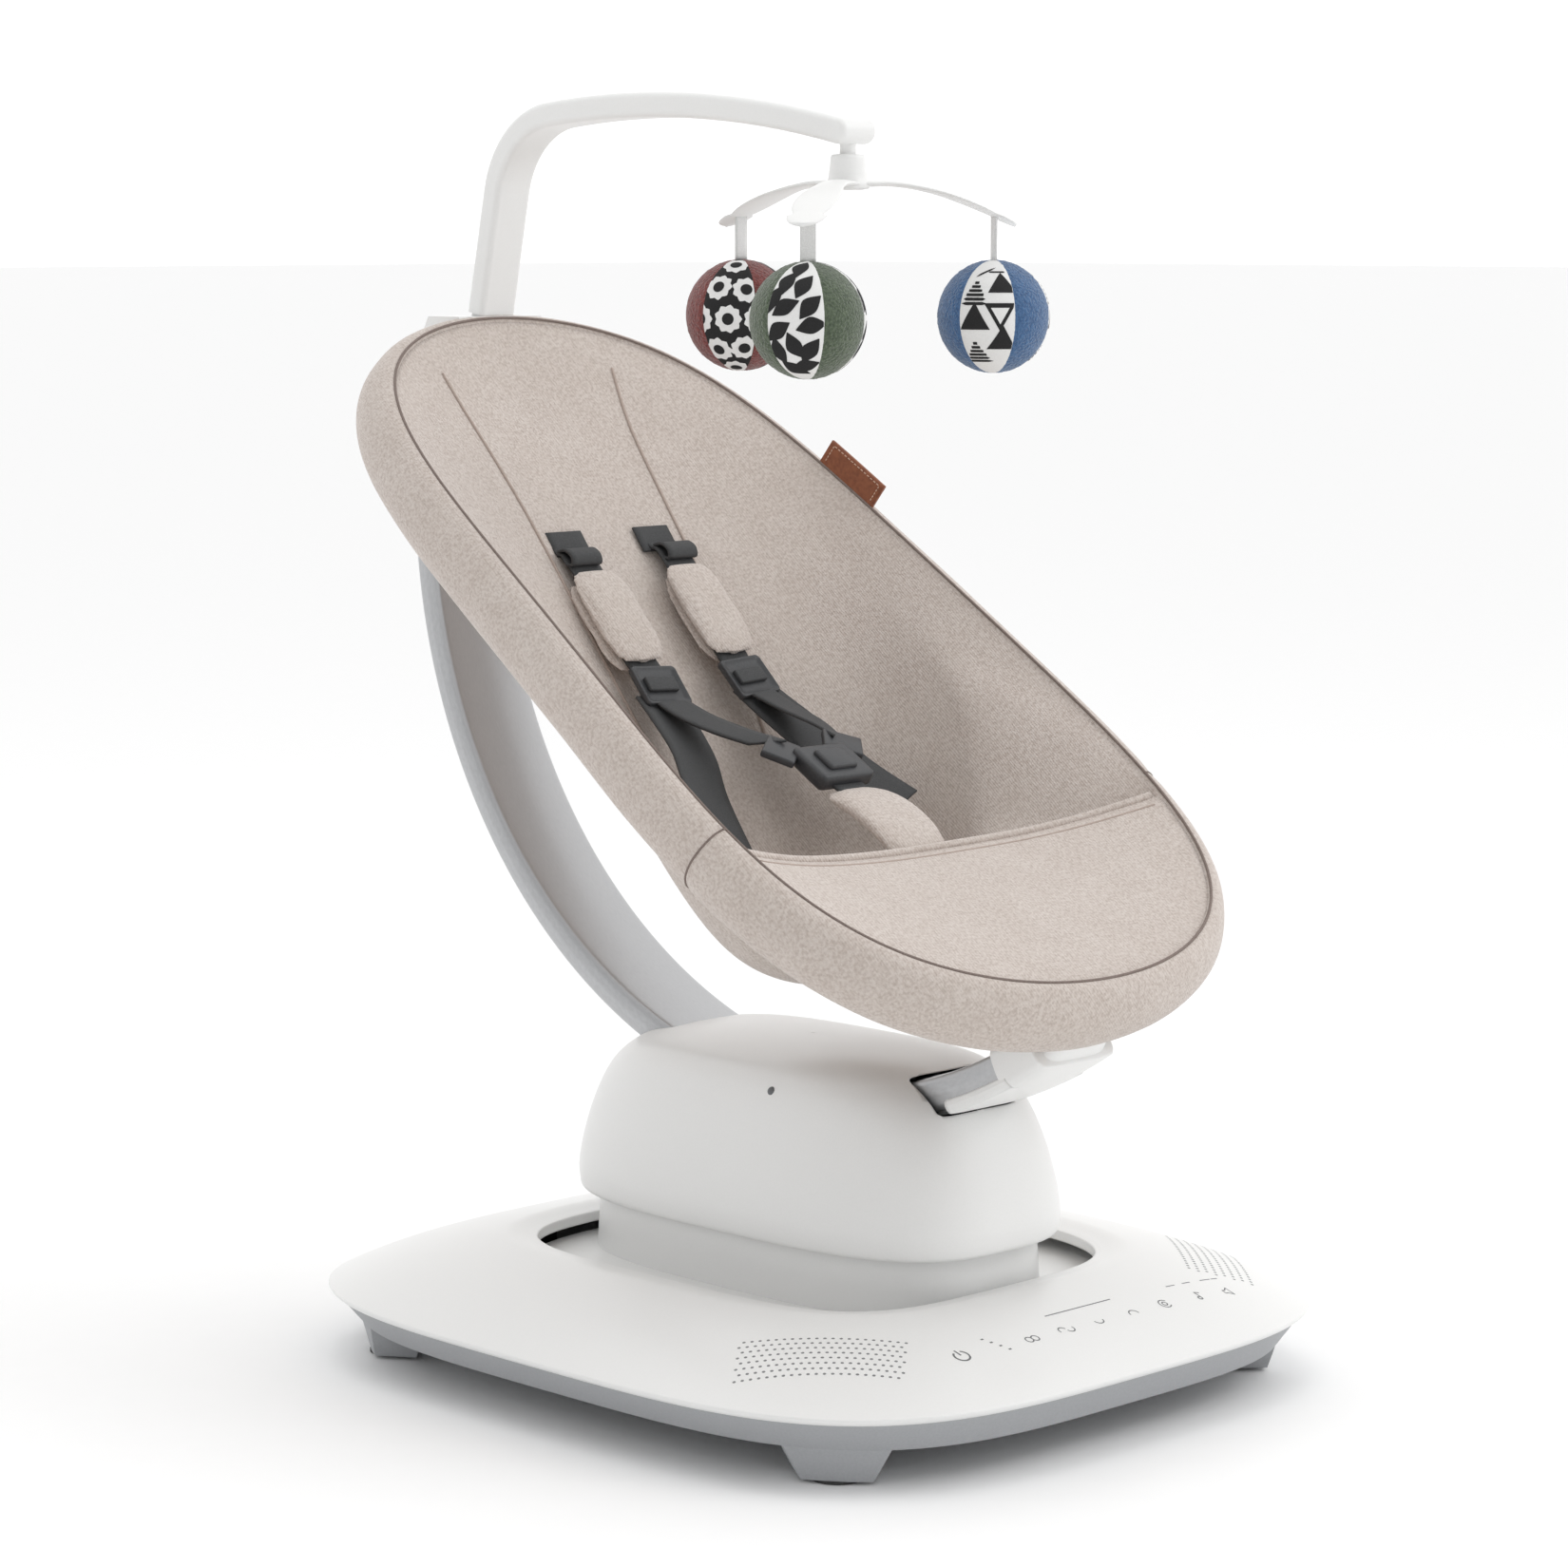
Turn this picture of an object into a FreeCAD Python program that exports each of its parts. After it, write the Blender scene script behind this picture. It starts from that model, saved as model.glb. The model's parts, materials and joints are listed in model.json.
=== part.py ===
import FreeCAD, Part
import math
import os

# Baby swing. X is its width, -Y its foot end, +Z up. Millimetres, seat at rest, lift at its lower stop.
# All parts are drawn about the middle of the base and shifted once, in save(), to the middle of the whole box.

V = FreeCAD.Vector

# base
BASE_HALF_W = 247.5
BASE_HALF_D = 279.0
BASE_POWER = 3.7
RIM_Z = 45.0
SEAM_Z = 41.0
CROWN = 38.0
WALL = 4.0
PAN_Z = 22.0
PAN_FLOOR_Z = 25.0
FOOT_X = 180.0
FOOT_Y = 198.0
PAD_H = 2.0
HOLE_HALF_W = 134.0
HOLE_HALF_D = 161.0
DISH_DROP = 4.5

# sideways slide
RAIL_R = 6.0
RAIL_Z = 40.0
RAIL_Y = 105.0
RAIL_HALF_L = 205.0
SLIDE_FIT = 0.05
PLATE_Z = 56.0
PLATE_TOP_Z = 60.0
SWAY_REACH = 36.0
PITCH_R = 12.0
TOOTH_COUNT = 12
TOOTH_PITCH = 2 * math.pi * PITCH_R / TOOTH_COUNT
ADDENDUM = 2.0
DEDENDUM = 2.6

# tower
TOWER_LIP_Z = 96.0
TOWER_POWER = 3.2
TOWER_WALL = 3.0
LIFT_REACH = 38.0
COLLAR_HALF_W = 84.0
COLLAR_HALF_D = 156.0
COLLAR_TOP_Z = 142.0
POST_X = 61.0
POST_Y = 78.0
POST_R = 6.0
POST_TOP_Z = 176.0
CHEEK_X = 38.0
CHEEK_T = 4.0
LIFT_AXIS_Z = 112.0
KNOB_Z = 138.0

# bow that carries the seat: an arc about a line along X
BOW_Y = -17.2
BOW_Z = 527.3
BOW_R = 354.7
BOW_W = 65.0
BOW_T = 21.0
STRIP_T = 2.5
BOW_REAR_DEG = 101.0
BOW_FRONT_DEG = -36.0
ROLLER_R = 9.0
ROLLER_FIT = 0.05

# seat ring, in a plane tilted about X
SEAT_Y = 24.8
SEAT_Z = 460.3
SEAT_TILT = 35.0
RING_HALF_L = 327.0
RING_HALF_W = 179.0
RING_EGG = -0.098
RING_FULL = 0.55

# mobile
ARM_W = 30.0
ARM_T = 16.0
MOBILE_Y = -28.0
BALL_R = 34.5
BALL_Z = 654.0
BALL_RING_R = 93.0
RIBBON_PIN_Z = 714.8

Y_MID = (BOW_Y + BOW_R + BOW_T / 2 + STRIP_T - BASE_HALF_D) / 2

os.makedirs("parts", exist_ok=True)
made = {}


def save(name, shape):
    """Keep one node and write its file, shifted so that the whole box is centred on the origin."""
    made[name] = shape
    moved = shape.copy()
    moved.translate(V(0, -Y_MID, 0))
    moved.exportStep("parts/" + name + ".step")
    print(name, shape.isValid(), len(shape.Solids), round(shape.Volume / 1000, 1), "cm3")


def box(x0, x1, y0, y1, z0, z1):
    return Part.makeBox(x1 - x0, y1 - y0, z1 - z0, V(x0, y0, z0))


def rod(radius, start, end):
    along = V(*end) - V(*start)
    return Part.makeCylinder(radius, along.Length, V(*start), along)


def fuse(shapes):
    whole = shapes[0]
    for shape in shapes[1:]:
        whole = whole.fuse(shape)
    return whole.removeSplitter()


def signed_power(value, power):
    return math.copysign(abs(value) ** power, value)


def oval_wire(half_x, half_y, power, z, count=40):
    """A closed superellipse: power 2 is an ellipse, a larger power is squarer."""
    points = []
    for i in range(count):
        angle = 2 * math.pi * i / count
        x = half_x * signed_power(math.cos(angle), 2 / power)
        y = half_y * signed_power(math.sin(angle), 2 / power)
        points.append(V(x, y, z))
    curve = Part.BSplineCurve()
    curve.interpolate(Points=points, PeriodicFlag=True)
    return Part.Wire([curve.toShape()])


def oval_stack(levels, power, ruled=False):
    """A solid through superellipses, each level being height, half width and half depth."""
    wires = [oval_wire(half_x, half_y, power, z) for z, half_x, half_y in levels]
    return Part.makeLoft(wires, True, ruled)


# ---------------------------------------------------------------- base

def crown_z(ratio):
    """Height of the crowned top at a fraction of the way from the middle to the rim."""
    return RIM_Z + CROWN * (1 - ratio ** 4)


def base_top_solid(inset, drop):
    levels = [(SEAM_Z - drop * 3, BASE_HALF_W * 0.992 - inset, BASE_HALF_D * 0.992 - inset)]
    levels.append((RIM_Z - drop, BASE_HALF_W - inset, BASE_HALF_D - inset))
    for ratio in (0.97, 0.9, 0.8, 0.65, 0.45):
        levels.append((crown_z(ratio) - drop, BASE_HALF_W * ratio - inset, BASE_HALF_D * ratio - inset))
    return oval_stack(levels, BASE_POWER)


def grille_block(side):
    """A block standing across a front corner of the base, where a speaker's grille lies."""
    block = box(-48, 48, -23, 23, 30, 90)
    block.rotate(V(0, 0, 0), V(0, 0, 1), side * 49)
    block.translate(V(side * 173, -178, 0))
    return block


def base_top():
    shell = base_top_solid(0, 0).cut(base_top_solid(WALL, WALL))
    hole = oval_stack([(40, HOLE_HALF_W, HOLE_HALF_D), (95, HOLE_HALF_W, HOLE_HALF_D)], 4.0, True)
    edge_z = crown_z(0.57) - DISH_DROP
    dish_levels = [(edge_z, HOLE_HALF_W + 4, HOLE_HALF_D + 4), (crown_z(0.5) + 6, HOLE_HALF_W + 30, HOLE_HALF_D + 24)]
    dish = oval_stack(dish_levels, 3.6, True)
    whole = base_top_solid(0, 0).cut(dish).cut(base_top_solid(WALL, WALL + DISH_DROP))
    rim = shell.cut(oval_stack([(40, 170, 190), (95, 170, 190)], 3.6, True))
    inner_part = whole.common(oval_stack([(40, 170, 190), (95, 170, 190)], 3.6, True))
    return fuse([rim, inner_part]).cut(hole)


def grille_holes(side):
    holes = []
    for row in range(5):
        for column in range(11):
            x = (column - 5) * 8 + (row % 2) * 4 - 2
            hole = Part.makeCylinder(1.3, 60, V(x, (row - 2) * 8, 32))
            hole.rotate(V(0, 0, 0), V(0, 0, 1), side * 49)
            hole.translate(V(side * 173, -178, 0))
            holes.append(hole)
    return Part.makeCompound(holes)


def foot_solid(side_x, side_y):
    def ring(z, across, deep, reach):
        half_a = across / 2
        half_d = deep / 2
        corners = [V(-half_a, reach - half_d, z), V(half_a, reach - half_d, z)]
        corners += [V(half_a * 0.8, reach + half_d, z), V(-half_a * 0.8, reach + half_d, z)]
        return Part.makePolygon(corners + corners[:1])
    foot = Part.makeLoft([ring(PAD_H, 50, 36, 0), ring(34, 86, 66, 4)], True, True)
    turn = {(1, 1): -42, (-1, 1): 42, (-1, -1): 138, (1, -1): -138}[(side_x, side_y)]
    foot.rotate(V(0, 0, 0), V(0, 0, 1), turn)
    foot.translate(V(side_x * FOOT_X, side_y * FOOT_Y, 0))
    return foot


def side_plug_places():
    places = []
    for side in (-1, 1):
        for offset in (-105, 0, 105):
            places.append((V(side * 225, offset, 33), V(side, 0, 0)))
            if side < 0 or offset != 0:
                places.append((V(offset * 0.9, side * 258, 33), V(0, side, 0)))
    return places


def base():
    top = base_top()
    grilles = []
    speakers = []
    for side in (-1, 1):
        block = grille_block(side)
        grilles.append(top.common(block).cut(grille_holes(side)))
        top = top.cut(block)
        speaker = Part.makeCylinder(20, 12, V(side * 166, -168, 30))
        cone = Part.makeCone(8, 18, 5, V(side * 166, -168, 37.5))
        speakers.append(speaker.cut(cone))
    save("speaker_grilles", Part.makeCompound(grilles))
    save("speakers", Part.makeCompound(speakers))
    save("base_top_shell", top)

    limit = oval_stack([(-1, 223, 258), (PAN_Z, 228, 264), (SEAM_Z, 243.5, 275)], BASE_POWER, True)
    above = box(-300, 300, -300, 300, PAN_Z, 60)
    pan = limit.common(above)
    feet = [foot_solid(x, y).common(limit) for x in (-1, 1) for y in (-1, 1)]
    pan = fuse([pan] + feet)
    hollow = oval_stack([(PAN_FLOOR_Z, 226, 262), (SEAM_Z + 1, 240.5, 272)], BASE_POWER, True)
    pan = pan.cut(hollow)
    plugs = []
    for place, outward in side_plug_places():
        plug = Part.makeCylinder(4, 16, place, outward).common(limit)
        stub = Part.makeCylinder(3, 14, place, outward)
        plugs.append(plug.fuse(stub.common(limit)).removeSplitter())
    plugs = Part.makeCompound(plugs)
    pan = pan.cut(plugs)
    inlet_pocket = box(-9, 9, 254, 290, 26, 38)
    pan = pan.cut(inlet_pocket)
    save("base_pan", pan)
    save("pan_side_plugs", plugs)

    inlet = box(-9, 9, 254, 266, 26, 38)
    inlet = inlet.cut(rod(3.5, (0, 258, 32), (0, 267, 32)))
    inlet = inlet.fuse(rod(1, (0, 257, 32), (0, 265, 32))).removeSplitter()
    save("power_inlet", inlet)

    pads = []
    for x in (-1, 1):
        for y in (-1, 1):
            pads.append(Part.makeCylinder(15, PAD_H, V(x * FOOT_X, y * FOOT_Y, 0)))
    save("foot_pads", Part.makeCompound(pads))

    rails = [rod(RAIL_R, (-RAIL_HALF_L, y, RAIL_Z), (RAIL_HALF_L, y, RAIL_Z)) for y in (-RAIL_Y, RAIL_Y)]
    save("slide_rails", Part.makeCompound(rails))
    brackets = []
    for x in (-1, 1):
        for y in (-RAIL_Y, RAIL_Y):
            inner = x * (RAIL_HALF_L - 14)
            outer = x * (RAIL_HALF_L + 2)
            block = box(min(inner, outer), max(inner, outer), y - 12, y + 12, PAN_FLOOR_Z, RAIL_Z + 9)
            brackets.append(block.cut(Part.makeCompound(rails)))
    save("rail_brackets", Part.makeCompound(brackets))

    motor = fuse([Part.makeCylinder(18, 19, V(0, 0, PAN_FLOOR_Z)), Part.makeCylinder(2.5, 30, V(0, 0, PAN_FLOOR_Z))])
    save("sway_motor", motor)
    save("control_board", box(-110, 110, -246, -222, 48, 49.6).fuse(box(-20, 20, -242, -228, 44, 48)))


# ---------------------------------------------------------------- gears

def pinion(width):
    """A spur pinion about Z from z 0 upward, with a gap between teeth facing +Y."""
    root_r = PITCH_R - DEDENDUM
    tip_r = PITCH_R + ADDENDUM
    pitch_angle = 2 * math.pi / TOOTH_COUNT
    disc = Part.makeCylinder(root_r, width)
    teeth = [disc]
    for i in range(TOOTH_COUNT):
        middle = math.pi / 2 + pitch_angle * (i + 0.5)
        corners = []
        for radius, half in ((root_r - 0.6, 0.30), (PITCH_R, 0.21), (tip_r, 0.09)):
            corners.append((radius, middle - half * pitch_angle))
        for radius, half in ((tip_r, 0.09), (PITCH_R, 0.21), (root_r - 0.6, 0.30)):
            corners.append((radius, middle + half * pitch_angle))
        points = [V(r * math.cos(a), r * math.sin(a), 0) for r, a in corners]
        outline = Part.makePolygon(points + points[:1])
        teeth.append(Part.Face(outline).extrude(V(0, 0, width)))
    return fuse(teeth).cut(Part.makeCylinder(2.5 + SLIDE_FIT, width))


def rack(length, width, back):
    """A rack along X whose teeth point at -Y; its pitch line is y = 0, with a tooth at x = 0."""
    points = [V(-length / 2, back, 0), V(-length / 2, DEDENDUM, 0)]
    count = int(length / 2 / TOOTH_PITCH - 0.5)
    for i in range(-count, count + 1):
        middle = i * TOOTH_PITCH
        points.append(V(middle - TOOTH_PITCH * 0.32, DEDENDUM, 0))
        points.append(V(middle - TOOTH_PITCH * 0.11, -ADDENDUM + 0.2, 0))
        points.append(V(middle + TOOTH_PITCH * 0.11, -ADDENDUM + 0.2, 0))
        points.append(V(middle + TOOTH_PITCH * 0.32, DEDENDUM, 0))
    points += [V(length / 2, DEDENDUM, 0), V(length / 2, back, 0)]
    return Part.Face(Part.makePolygon(points + points[:1])).extrude(V(0, 0, width))


# ---------------------------------------------------------------- carriage that sways

def carriage():
    plate = oval_stack([(PLATE_Z, 160, 168), (PLATE_TOP_Z, 160, 168)], 3.0, True)
    plate = plate.cut(Part.makeCylinder(6, 20, V(0, 0, 50)))
    posts = []
    for x in (-POST_X, POST_X):
        for y in (-POST_Y, POST_Y):
            posts.append(Part.makeCylinder(POST_R, POST_TOP_Z - PLATE_Z, V(x, y, PLATE_Z)))
    posts = Part.makeCompound(posts)
    bracket = box(53, 56, -20, 20, PLATE_TOP_Z, 132)
    foot = box(56, 74, -20, 20, PLATE_TOP_Z, PLATE_TOP_Z + 4)
    bracket = fuse([bracket, foot]).cut(rod(2.6, (50, 0, LIFT_AXIS_Z), (60, 0, LIFT_AXIS_Z)))
    save("carriage_plate", plate.cut(posts))
    save("guide_posts", posts)
    motor = rod(15, (56, 0, LIFT_AXIS_Z), (75, 0, LIFT_AXIS_Z))
    motor = fuse([motor, rod(2.5, (43.5, 0, LIFT_AXIS_Z), (60, 0, LIFT_AXIS_Z))])
    save("lift_motor", Part.makeCompound([bracket, motor]))

    blocks = []
    for x in (-70, 70):
        for y in (-RAIL_Y, RAIL_Y):
            block = box(x - 20, x + 20, y - 13, y + 13, RAIL_Z - 10, PLATE_Z)
            blocks.append(block.cut(rod(RAIL_R + SLIDE_FIT, (x - 21, y, RAIL_Z), (x + 21, y, RAIL_Z))))
    save("slide_bushings", Part.makeCompound(blocks))

    outer = oval_stack([(PLATE_TOP_Z, COLLAR_HALF_W, COLLAR_HALF_D), (COLLAR_TOP_Z, COLLAR_HALF_W - 4,
                       COLLAR_HALF_D - 6)], TOWER_POWER, True)
    inner = oval_stack([(PLATE_TOP_Z, COLLAR_HALF_W - 3, COLLAR_HALF_D - 3), (COLLAR_TOP_Z, COLLAR_HALF_W - 7,
                       COLLAR_HALF_D - 9)], TOWER_POWER, True)
    knob_notch = box(-8, 8, 135, 165, KNOB_Z - 7, COLLAR_TOP_Z + 1)
    save("collar", outer.cut(inner).cut(knob_notch))

    sway_rack = rack(116, 8, 10)
    sway_rack.translate(V(0, PITCH_R, PLATE_Z - 8))
    save("sway_rack", sway_rack)
    gear = pinion(7)
    gear.translate(V(0, 0, PLATE_Z - 8.5))
    save("sway_pinion", gear)
    gear = pinion(6)
    gear.rotate(V(0, 0, 0), V(0, 1, 0), 90)
    gear.translate(V(44.5, 0, LIFT_AXIS_Z))
    save("lift_pinion", gear)

    helix = Part.makeHelix(9.0, 45, 10)
    section = Part.Wire([Part.makeCircle(1.4, V(10, 0, 0), V(0, 1, 0))])
    spring = Part.Wire(helix.Edges).makePipeShell([section], True, True)
    spring.translate(V(0, -44, PLATE_TOP_Z + 1.6))
    save("lift_spring", spring)


# ---------------------------------------------------------------- tower that rises

TOWER_LEVELS = (
    (TOWER_LIP_Z, 88, 165),
    (104, 90.5, 168.5),
    (114, 91, 169),
    (132, 89, 165.5),
    (152, 85.5, 159),
    (170, 81.5, 150),
    (184, 77.5, 140),
    (194, 71, 129),
    (201, 60, 112),
    (205, 42, 84),
    (207, 18, 40),
)


def arc_band(inner_r, outer_r, half_w, from_deg, to_deg):
    """A rectangular band bent about the bow's axis; 0 degrees hangs straight down, + is to the rear."""
    corners = [V(-half_w, 0, -inner_r), V(half_w, 0, -inner_r), V(half_w, 0, -outer_r), V(-half_w, 0, -outer_r)]
    face = Part.Face(Part.makePolygon(corners + corners[:1]))
    band = face.revolve(V(0, 0, 0), V(1, 0, 0), to_deg - from_deg)
    band.rotate(V(0, 0, 0), V(1, 0, 0), from_deg)
    band.translate(V(0, BOW_Y, BOW_Z))
    return band


def on_bow(radius, degrees):
    angle = math.radians(degrees)
    return BOW_Y + radius * math.sin(angle), BOW_Z - radius * math.cos(angle)


def roller_places():
    outer_r = BOW_R + BOW_T / 2 + STRIP_T + ROLLER_R + ROLLER_FIT
    inner_r = BOW_R - BOW_T / 2 - ROLLER_R - ROLLER_FIT
    places = {"under_rear": (outer_r, 13.0), "under_front": (outer_r, -7.0)}
    places.update({"over_rear": (inner_r, 4.0), "over_front": (inner_r, -4.0)})
    return places


def tower():
    outer = oval_stack(TOWER_LEVELS, TOWER_POWER, True)
    inner_levels = [(TOWER_LIP_Z - 4, 85, 162)]
    for z, half_x, half_y in TOWER_LEVELS[1:]:
        inner_levels.append((z - TOWER_WALL, half_x - TOWER_WALL, half_y - TOWER_WALL))
    inner = oval_stack(inner_levels, TOWER_POWER, True)
    slot = arc_band(BOW_R - 14, BOW_R + 18, BOW_W / 2 + 3.5, -60, 60)
    shaft_hole = rod(5 + SLIDE_FIT, (0, 120, KNOB_Z), (0, 200, KNOB_Z))
    bosses = []
    for x in (-60, 60):
        for y in (-104, 104):
            bosses.append(Part.makeCylinder(7, 80, V(x, y, 150)).common(outer))
    shell = fuse([outer.cut(inner)] + bosses)
    shell = shell.cut(slot).cut(shaft_hole)

    cheeks = []
    for side in (-1, 1):
        x0, x1 = sorted((side * CHEEK_X, side * (CHEEK_X + CHEEK_T)))
        cheek = box(x0, x1, -100, 100, 100, 182).fuse(box(x0, x1, -52, 18, 182, 198))
        for y in (-POST_Y, POST_Y):
            a, b = sorted((side * (CHEEK_X + CHEEK_T), side * (POST_X + 10)))
            ear = box(a, b, y - 10, y + 10, 102, 124)
            cheek = cheek.fuse(ear)
        for y in (-104, 104):
            a, b = sorted((side * CHEEK_X, side * 68))
            cheek = cheek.fuse(box(a, b, y - 9, y + 9, 145.5, 149.9))
        cheeks.append(cheek)
    cross = [box(-CHEEK_X, CHEEK_X, y - 12, y + 12, 110, 116) for y in (-44, 60)]
    cradle = fuse(cheeks + cross)
    post_space = []
    for x in (-POST_X, POST_X):
        for y in (-POST_Y, POST_Y):
            post_space.append(Part.makeCylinder(8, 60, V(x, y, 90)))
    cradle = cradle.cut(Part.makeCompound(post_space))
    pins = []
    rollers = {}
    for name, (radius, degrees) in roller_places().items():
        y, z = on_bow(radius, degrees)
        pins.append(rod(2.5, (-CHEEK_X - CHEEK_T, y, z), (CHEEK_X + CHEEK_T, y, z)))
        wheel = rod(ROLLER_R, (-28, y, z), (28, y, z))
        rollers[name] = wheel.cut(rod(2.5 + SLIDE_FIT, (-29, y, z), (29, y, z)))
    save("roller_pins", Part.makeCompound(pins))
    for name, wheel in rollers.items():
        save("roller_" + name, wheel)

    bushings = []
    for x in (-POST_X, POST_X):
        for y in (-POST_Y, POST_Y):
            sleeve = Part.makeCylinder(8, 22, V(x, y, 102))
            bushings.append(sleeve.cut(Part.makeCylinder(POST_R + SLIDE_FIT, 30, V(x, y, 98))))
    save("post_bushings", Part.makeCompound(bushings))

    lift_rack = rack(58, 7, 9)
    lift_rack.rotate(V(0, 0, 0), V(0, 1, 0), -90)
    lift_rack.translate(V(50, PITCH_R, LIFT_AXIS_Z - 3 * TOOTH_PITCH))
    back = box(CHEEK_X + CHEEK_T, 50, PITCH_R + 5, PITCH_R + 13, 100, 124)
    save("lift_rack", lift_rack.fuse(back).removeSplitter())

    screws = []
    for x in (-60, 60):
        for y in (-104, 104):
            screws.append(fuse([Part.makeCylinder(4, 3, V(x, y, 142.5)), Part.makeCylinder(1.9, 18, V(x, y, 142.5))]))
    screws = Part.makeCompound(screws)
    save("cradle", cradle.cut(Part.makeCompound(pins)).cut(screws))
    save("tower_shell", shell.cut(screws))
    save("cradle_screws", screws)

    clamp = box(-14, 14, 118, 132, KNOB_Z - 14, KNOB_Z + 14)
    save("recline_clamp", clamp)
    shaft = rod(5, (0, 134, KNOB_Z), (0, 172, KNOB_Z))
    grip = rod(21, (0, 169.5, KNOB_Z), (0, 184, KNOB_Z))
    grip = grip.makeFillet(3, [edge for edge in grip.Edges if abs(edge.BoundBox.YMin - 184) < 0.1])
    wing = box(-4, 4, 180, 190, KNOB_Z - 17, KNOB_Z + 17)
    save("recline_knob", fuse([shaft, grip, wing]))


# ---------------------------------------------------------------- bow and brackets

def bow():
    half = BOW_T / 2
    band = arc_band(BOW_R - half, BOW_R + half, BOW_W / 2, BOW_FRONT_DEG, BOW_REAR_DEG)
    long_edges = [edge for edge in band.Edges if edge.Length > 300]
    band = band.makeFillet(4, long_edges)
    save("bow", band)
    strip = arc_band(BOW_R + half, BOW_R + half + STRIP_T, 22, BOW_FRONT_DEG + 13, BOW_REAR_DEG - 10)
    save("bow_strip", strip)


def in_seat(shape):
    """Turn a part drawn flat, with +Y to the head and Z off the ring's plane, into its place."""
    placed = shape.copy()
    placed.rotate(V(0, 0, 0), V(1, 0, 0), SEAT_TILT)
    placed.translate(V(0, SEAT_Y, SEAT_Z))
    return placed


ARM_LEAN = math.radians(12.0)
ARM_FOOT = (306.0, 640.0)


def arm_leg_box(half_w, half_t, below, above):
    """A block along the arm's leg, measured from the arm's foot."""
    block = box(-half_w, half_w, -half_t, half_t, -below, above)
    block.rotate(V(0, 0, 0), V(1, 0, 0), math.degrees(ARM_LEAN))
    block.translate(V(0, ARM_FOOT[0], ARM_FOOT[1]))
    return block


def brackets():
    profile = [(313, 566), (349, 566), (348, 600), (334, 634), (325, 650), (294, 650), (291, 636), (305, 600)]
    points = [V(-36, y, z) for y, z in profile]
    head = Part.Face(Part.makePolygon(points + points[:1])).extrude(V(72, 0, 0))
    head = head.cut(made["bow"]).cut(made["bow_strip"])
    head = head.cut(arm_leg_box(12.3, 5.3, 48, 30))

    sleeve = arc_band(BOW_R - BOW_T / 2 - 4, BOW_R + BOW_T / 2 + 4.5, BOW_W / 2 + 4, -36.5, -24.5)
    long_edges = [edge for edge in sleeve.Edges if edge.Length > 60]
    sleeve = sleeve.makeFillet(3, long_edges)
    y0, z0 = on_bow(BOW_R, -34)
    riser_points = [(y0 - 14, z0 - 6), (y0 + 12, z0 + 4), (-225, 256), (-242, 250.5)]
    points = [V(-26, y, z) for y, z in riser_points]
    riser = Part.Face(Part.makePolygon(points + points[:1])).extrude(V(52, 0, 0))
    foot = fuse([sleeve, riser]).cut(made["bow"]).cut(made["bow_strip"])
    for side in ("left", "right"):
        head = head.cut(made["ring_tube_" + side])
        foot = foot.cut(made["ring_tube_" + side])
    save("head_bracket", head)
    save("foot_bracket", foot)


# ---------------------------------------------------------------- seat

def ring_wire(grow, z):
    """The seat's egg-shaped outline, grown or shrunk, in the ring's own plane."""
    points = []
    count = 48
    for i in range(count):
        angle = 2 * math.pi * i / count
        c = math.cos(angle)
        half_w = RING_HALF_W * (1 + RING_EGG * c + RING_FULL * c * c) + grow
        points.append(V(half_w * math.sin(angle), (RING_HALF_L + grow) * c, z))
    curve = Part.BSplineCurve()
    curve.interpolate(Points=points, PeriodicFlag=True)
    return Part.Wire([curve.toShape()])


def ring_stack(levels):
    return Part.makeLoft([ring_wire(grow, z) for z, grow in levels], True, True)


def bucket_wire(depth, head, foot, half_x, inset):
    """One level of the bucket: an oval from the head side to the foot side, at a depth under the ring."""
    points = []
    count = 48
    middle = (head + foot) / 2
    half_s = (head - foot) / 2 - inset
    for i in range(count):
        angle = 2 * math.pi * i / count
        c = math.cos(angle)
        s = math.sin(angle)
        points.append(V((half_x - inset) * signed_power(s, 0.85), middle + half_s * signed_power(c, 0.85), -depth))
    curve = Part.BSplineCurve()
    curve.interpolate(Points=points, PeriodicFlag=True)
    return Part.Wire([curve.toShape()])


# depth under the ring, then the head side, the foot side and half the width there
BUCKET_LEVELS = (
    (24, 282, -204, 160),
    (45, 205, -205, 145),
    (72, 118, -203, 131),
    (100, 38, -198, 116),
    (128, -22, -188, 98),
    (150, -66, -170, 72),
    (162, -92, -146, 40),
)
SLING_T = 5.0

# the padded cover round the ring: height off the ring's plane, then growth past its outline
COVER_LEVELS = ((-43.5, 4), (-36, 14), (-21, 18.5), (-8, 15), (0, 9), (4, 2))


def bucket_solid(inset, lift):
    wires = [ring_wire(-3.3 - inset, lift - 5)]
    for depth, head, foot, half_x in BUCKET_LEVELS:
        wires.append(bucket_wire(depth - lift, head, foot, half_x, inset))
    return Part.makeLoft(wires, True, True)


def flap_section(s, half_x, sag, top, bottom):
    """A cross-section of the foot flap, which hangs like a hammock between the ring's sides."""
    def row(drop):
        ends = (V(-half_x, s, drop), V(half_x, s, drop))
        arc = Part.Arc(ends[0], V(0, s, drop - sag), ends[1])
        return ends, arc.toShape()
    upper_ends, upper = row(top)
    lower_ends, lower = row(bottom)
    sides = [Part.makeLine(upper_ends[1], lower_ends[1]), Part.makeLine(lower_ends[0], upper_ends[0])]
    return Part.Wire(Part.sortEdges([upper, sides[0], lower, sides[1]])[0])


FLAP_SECTIONS = ((-176, 166, 30), (-225, 152, 23), (-268, 122, 13), (-300, 82, 5), (-318, 42, 1.5))


def flap_solid(top, bottom, grow=0):
    wires = [flap_section(s, half_x + grow, sag, top, bottom) for s, half_x, sag in FLAP_SECTIONS]
    return Part.makeLoft(wires, True, True)


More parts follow.
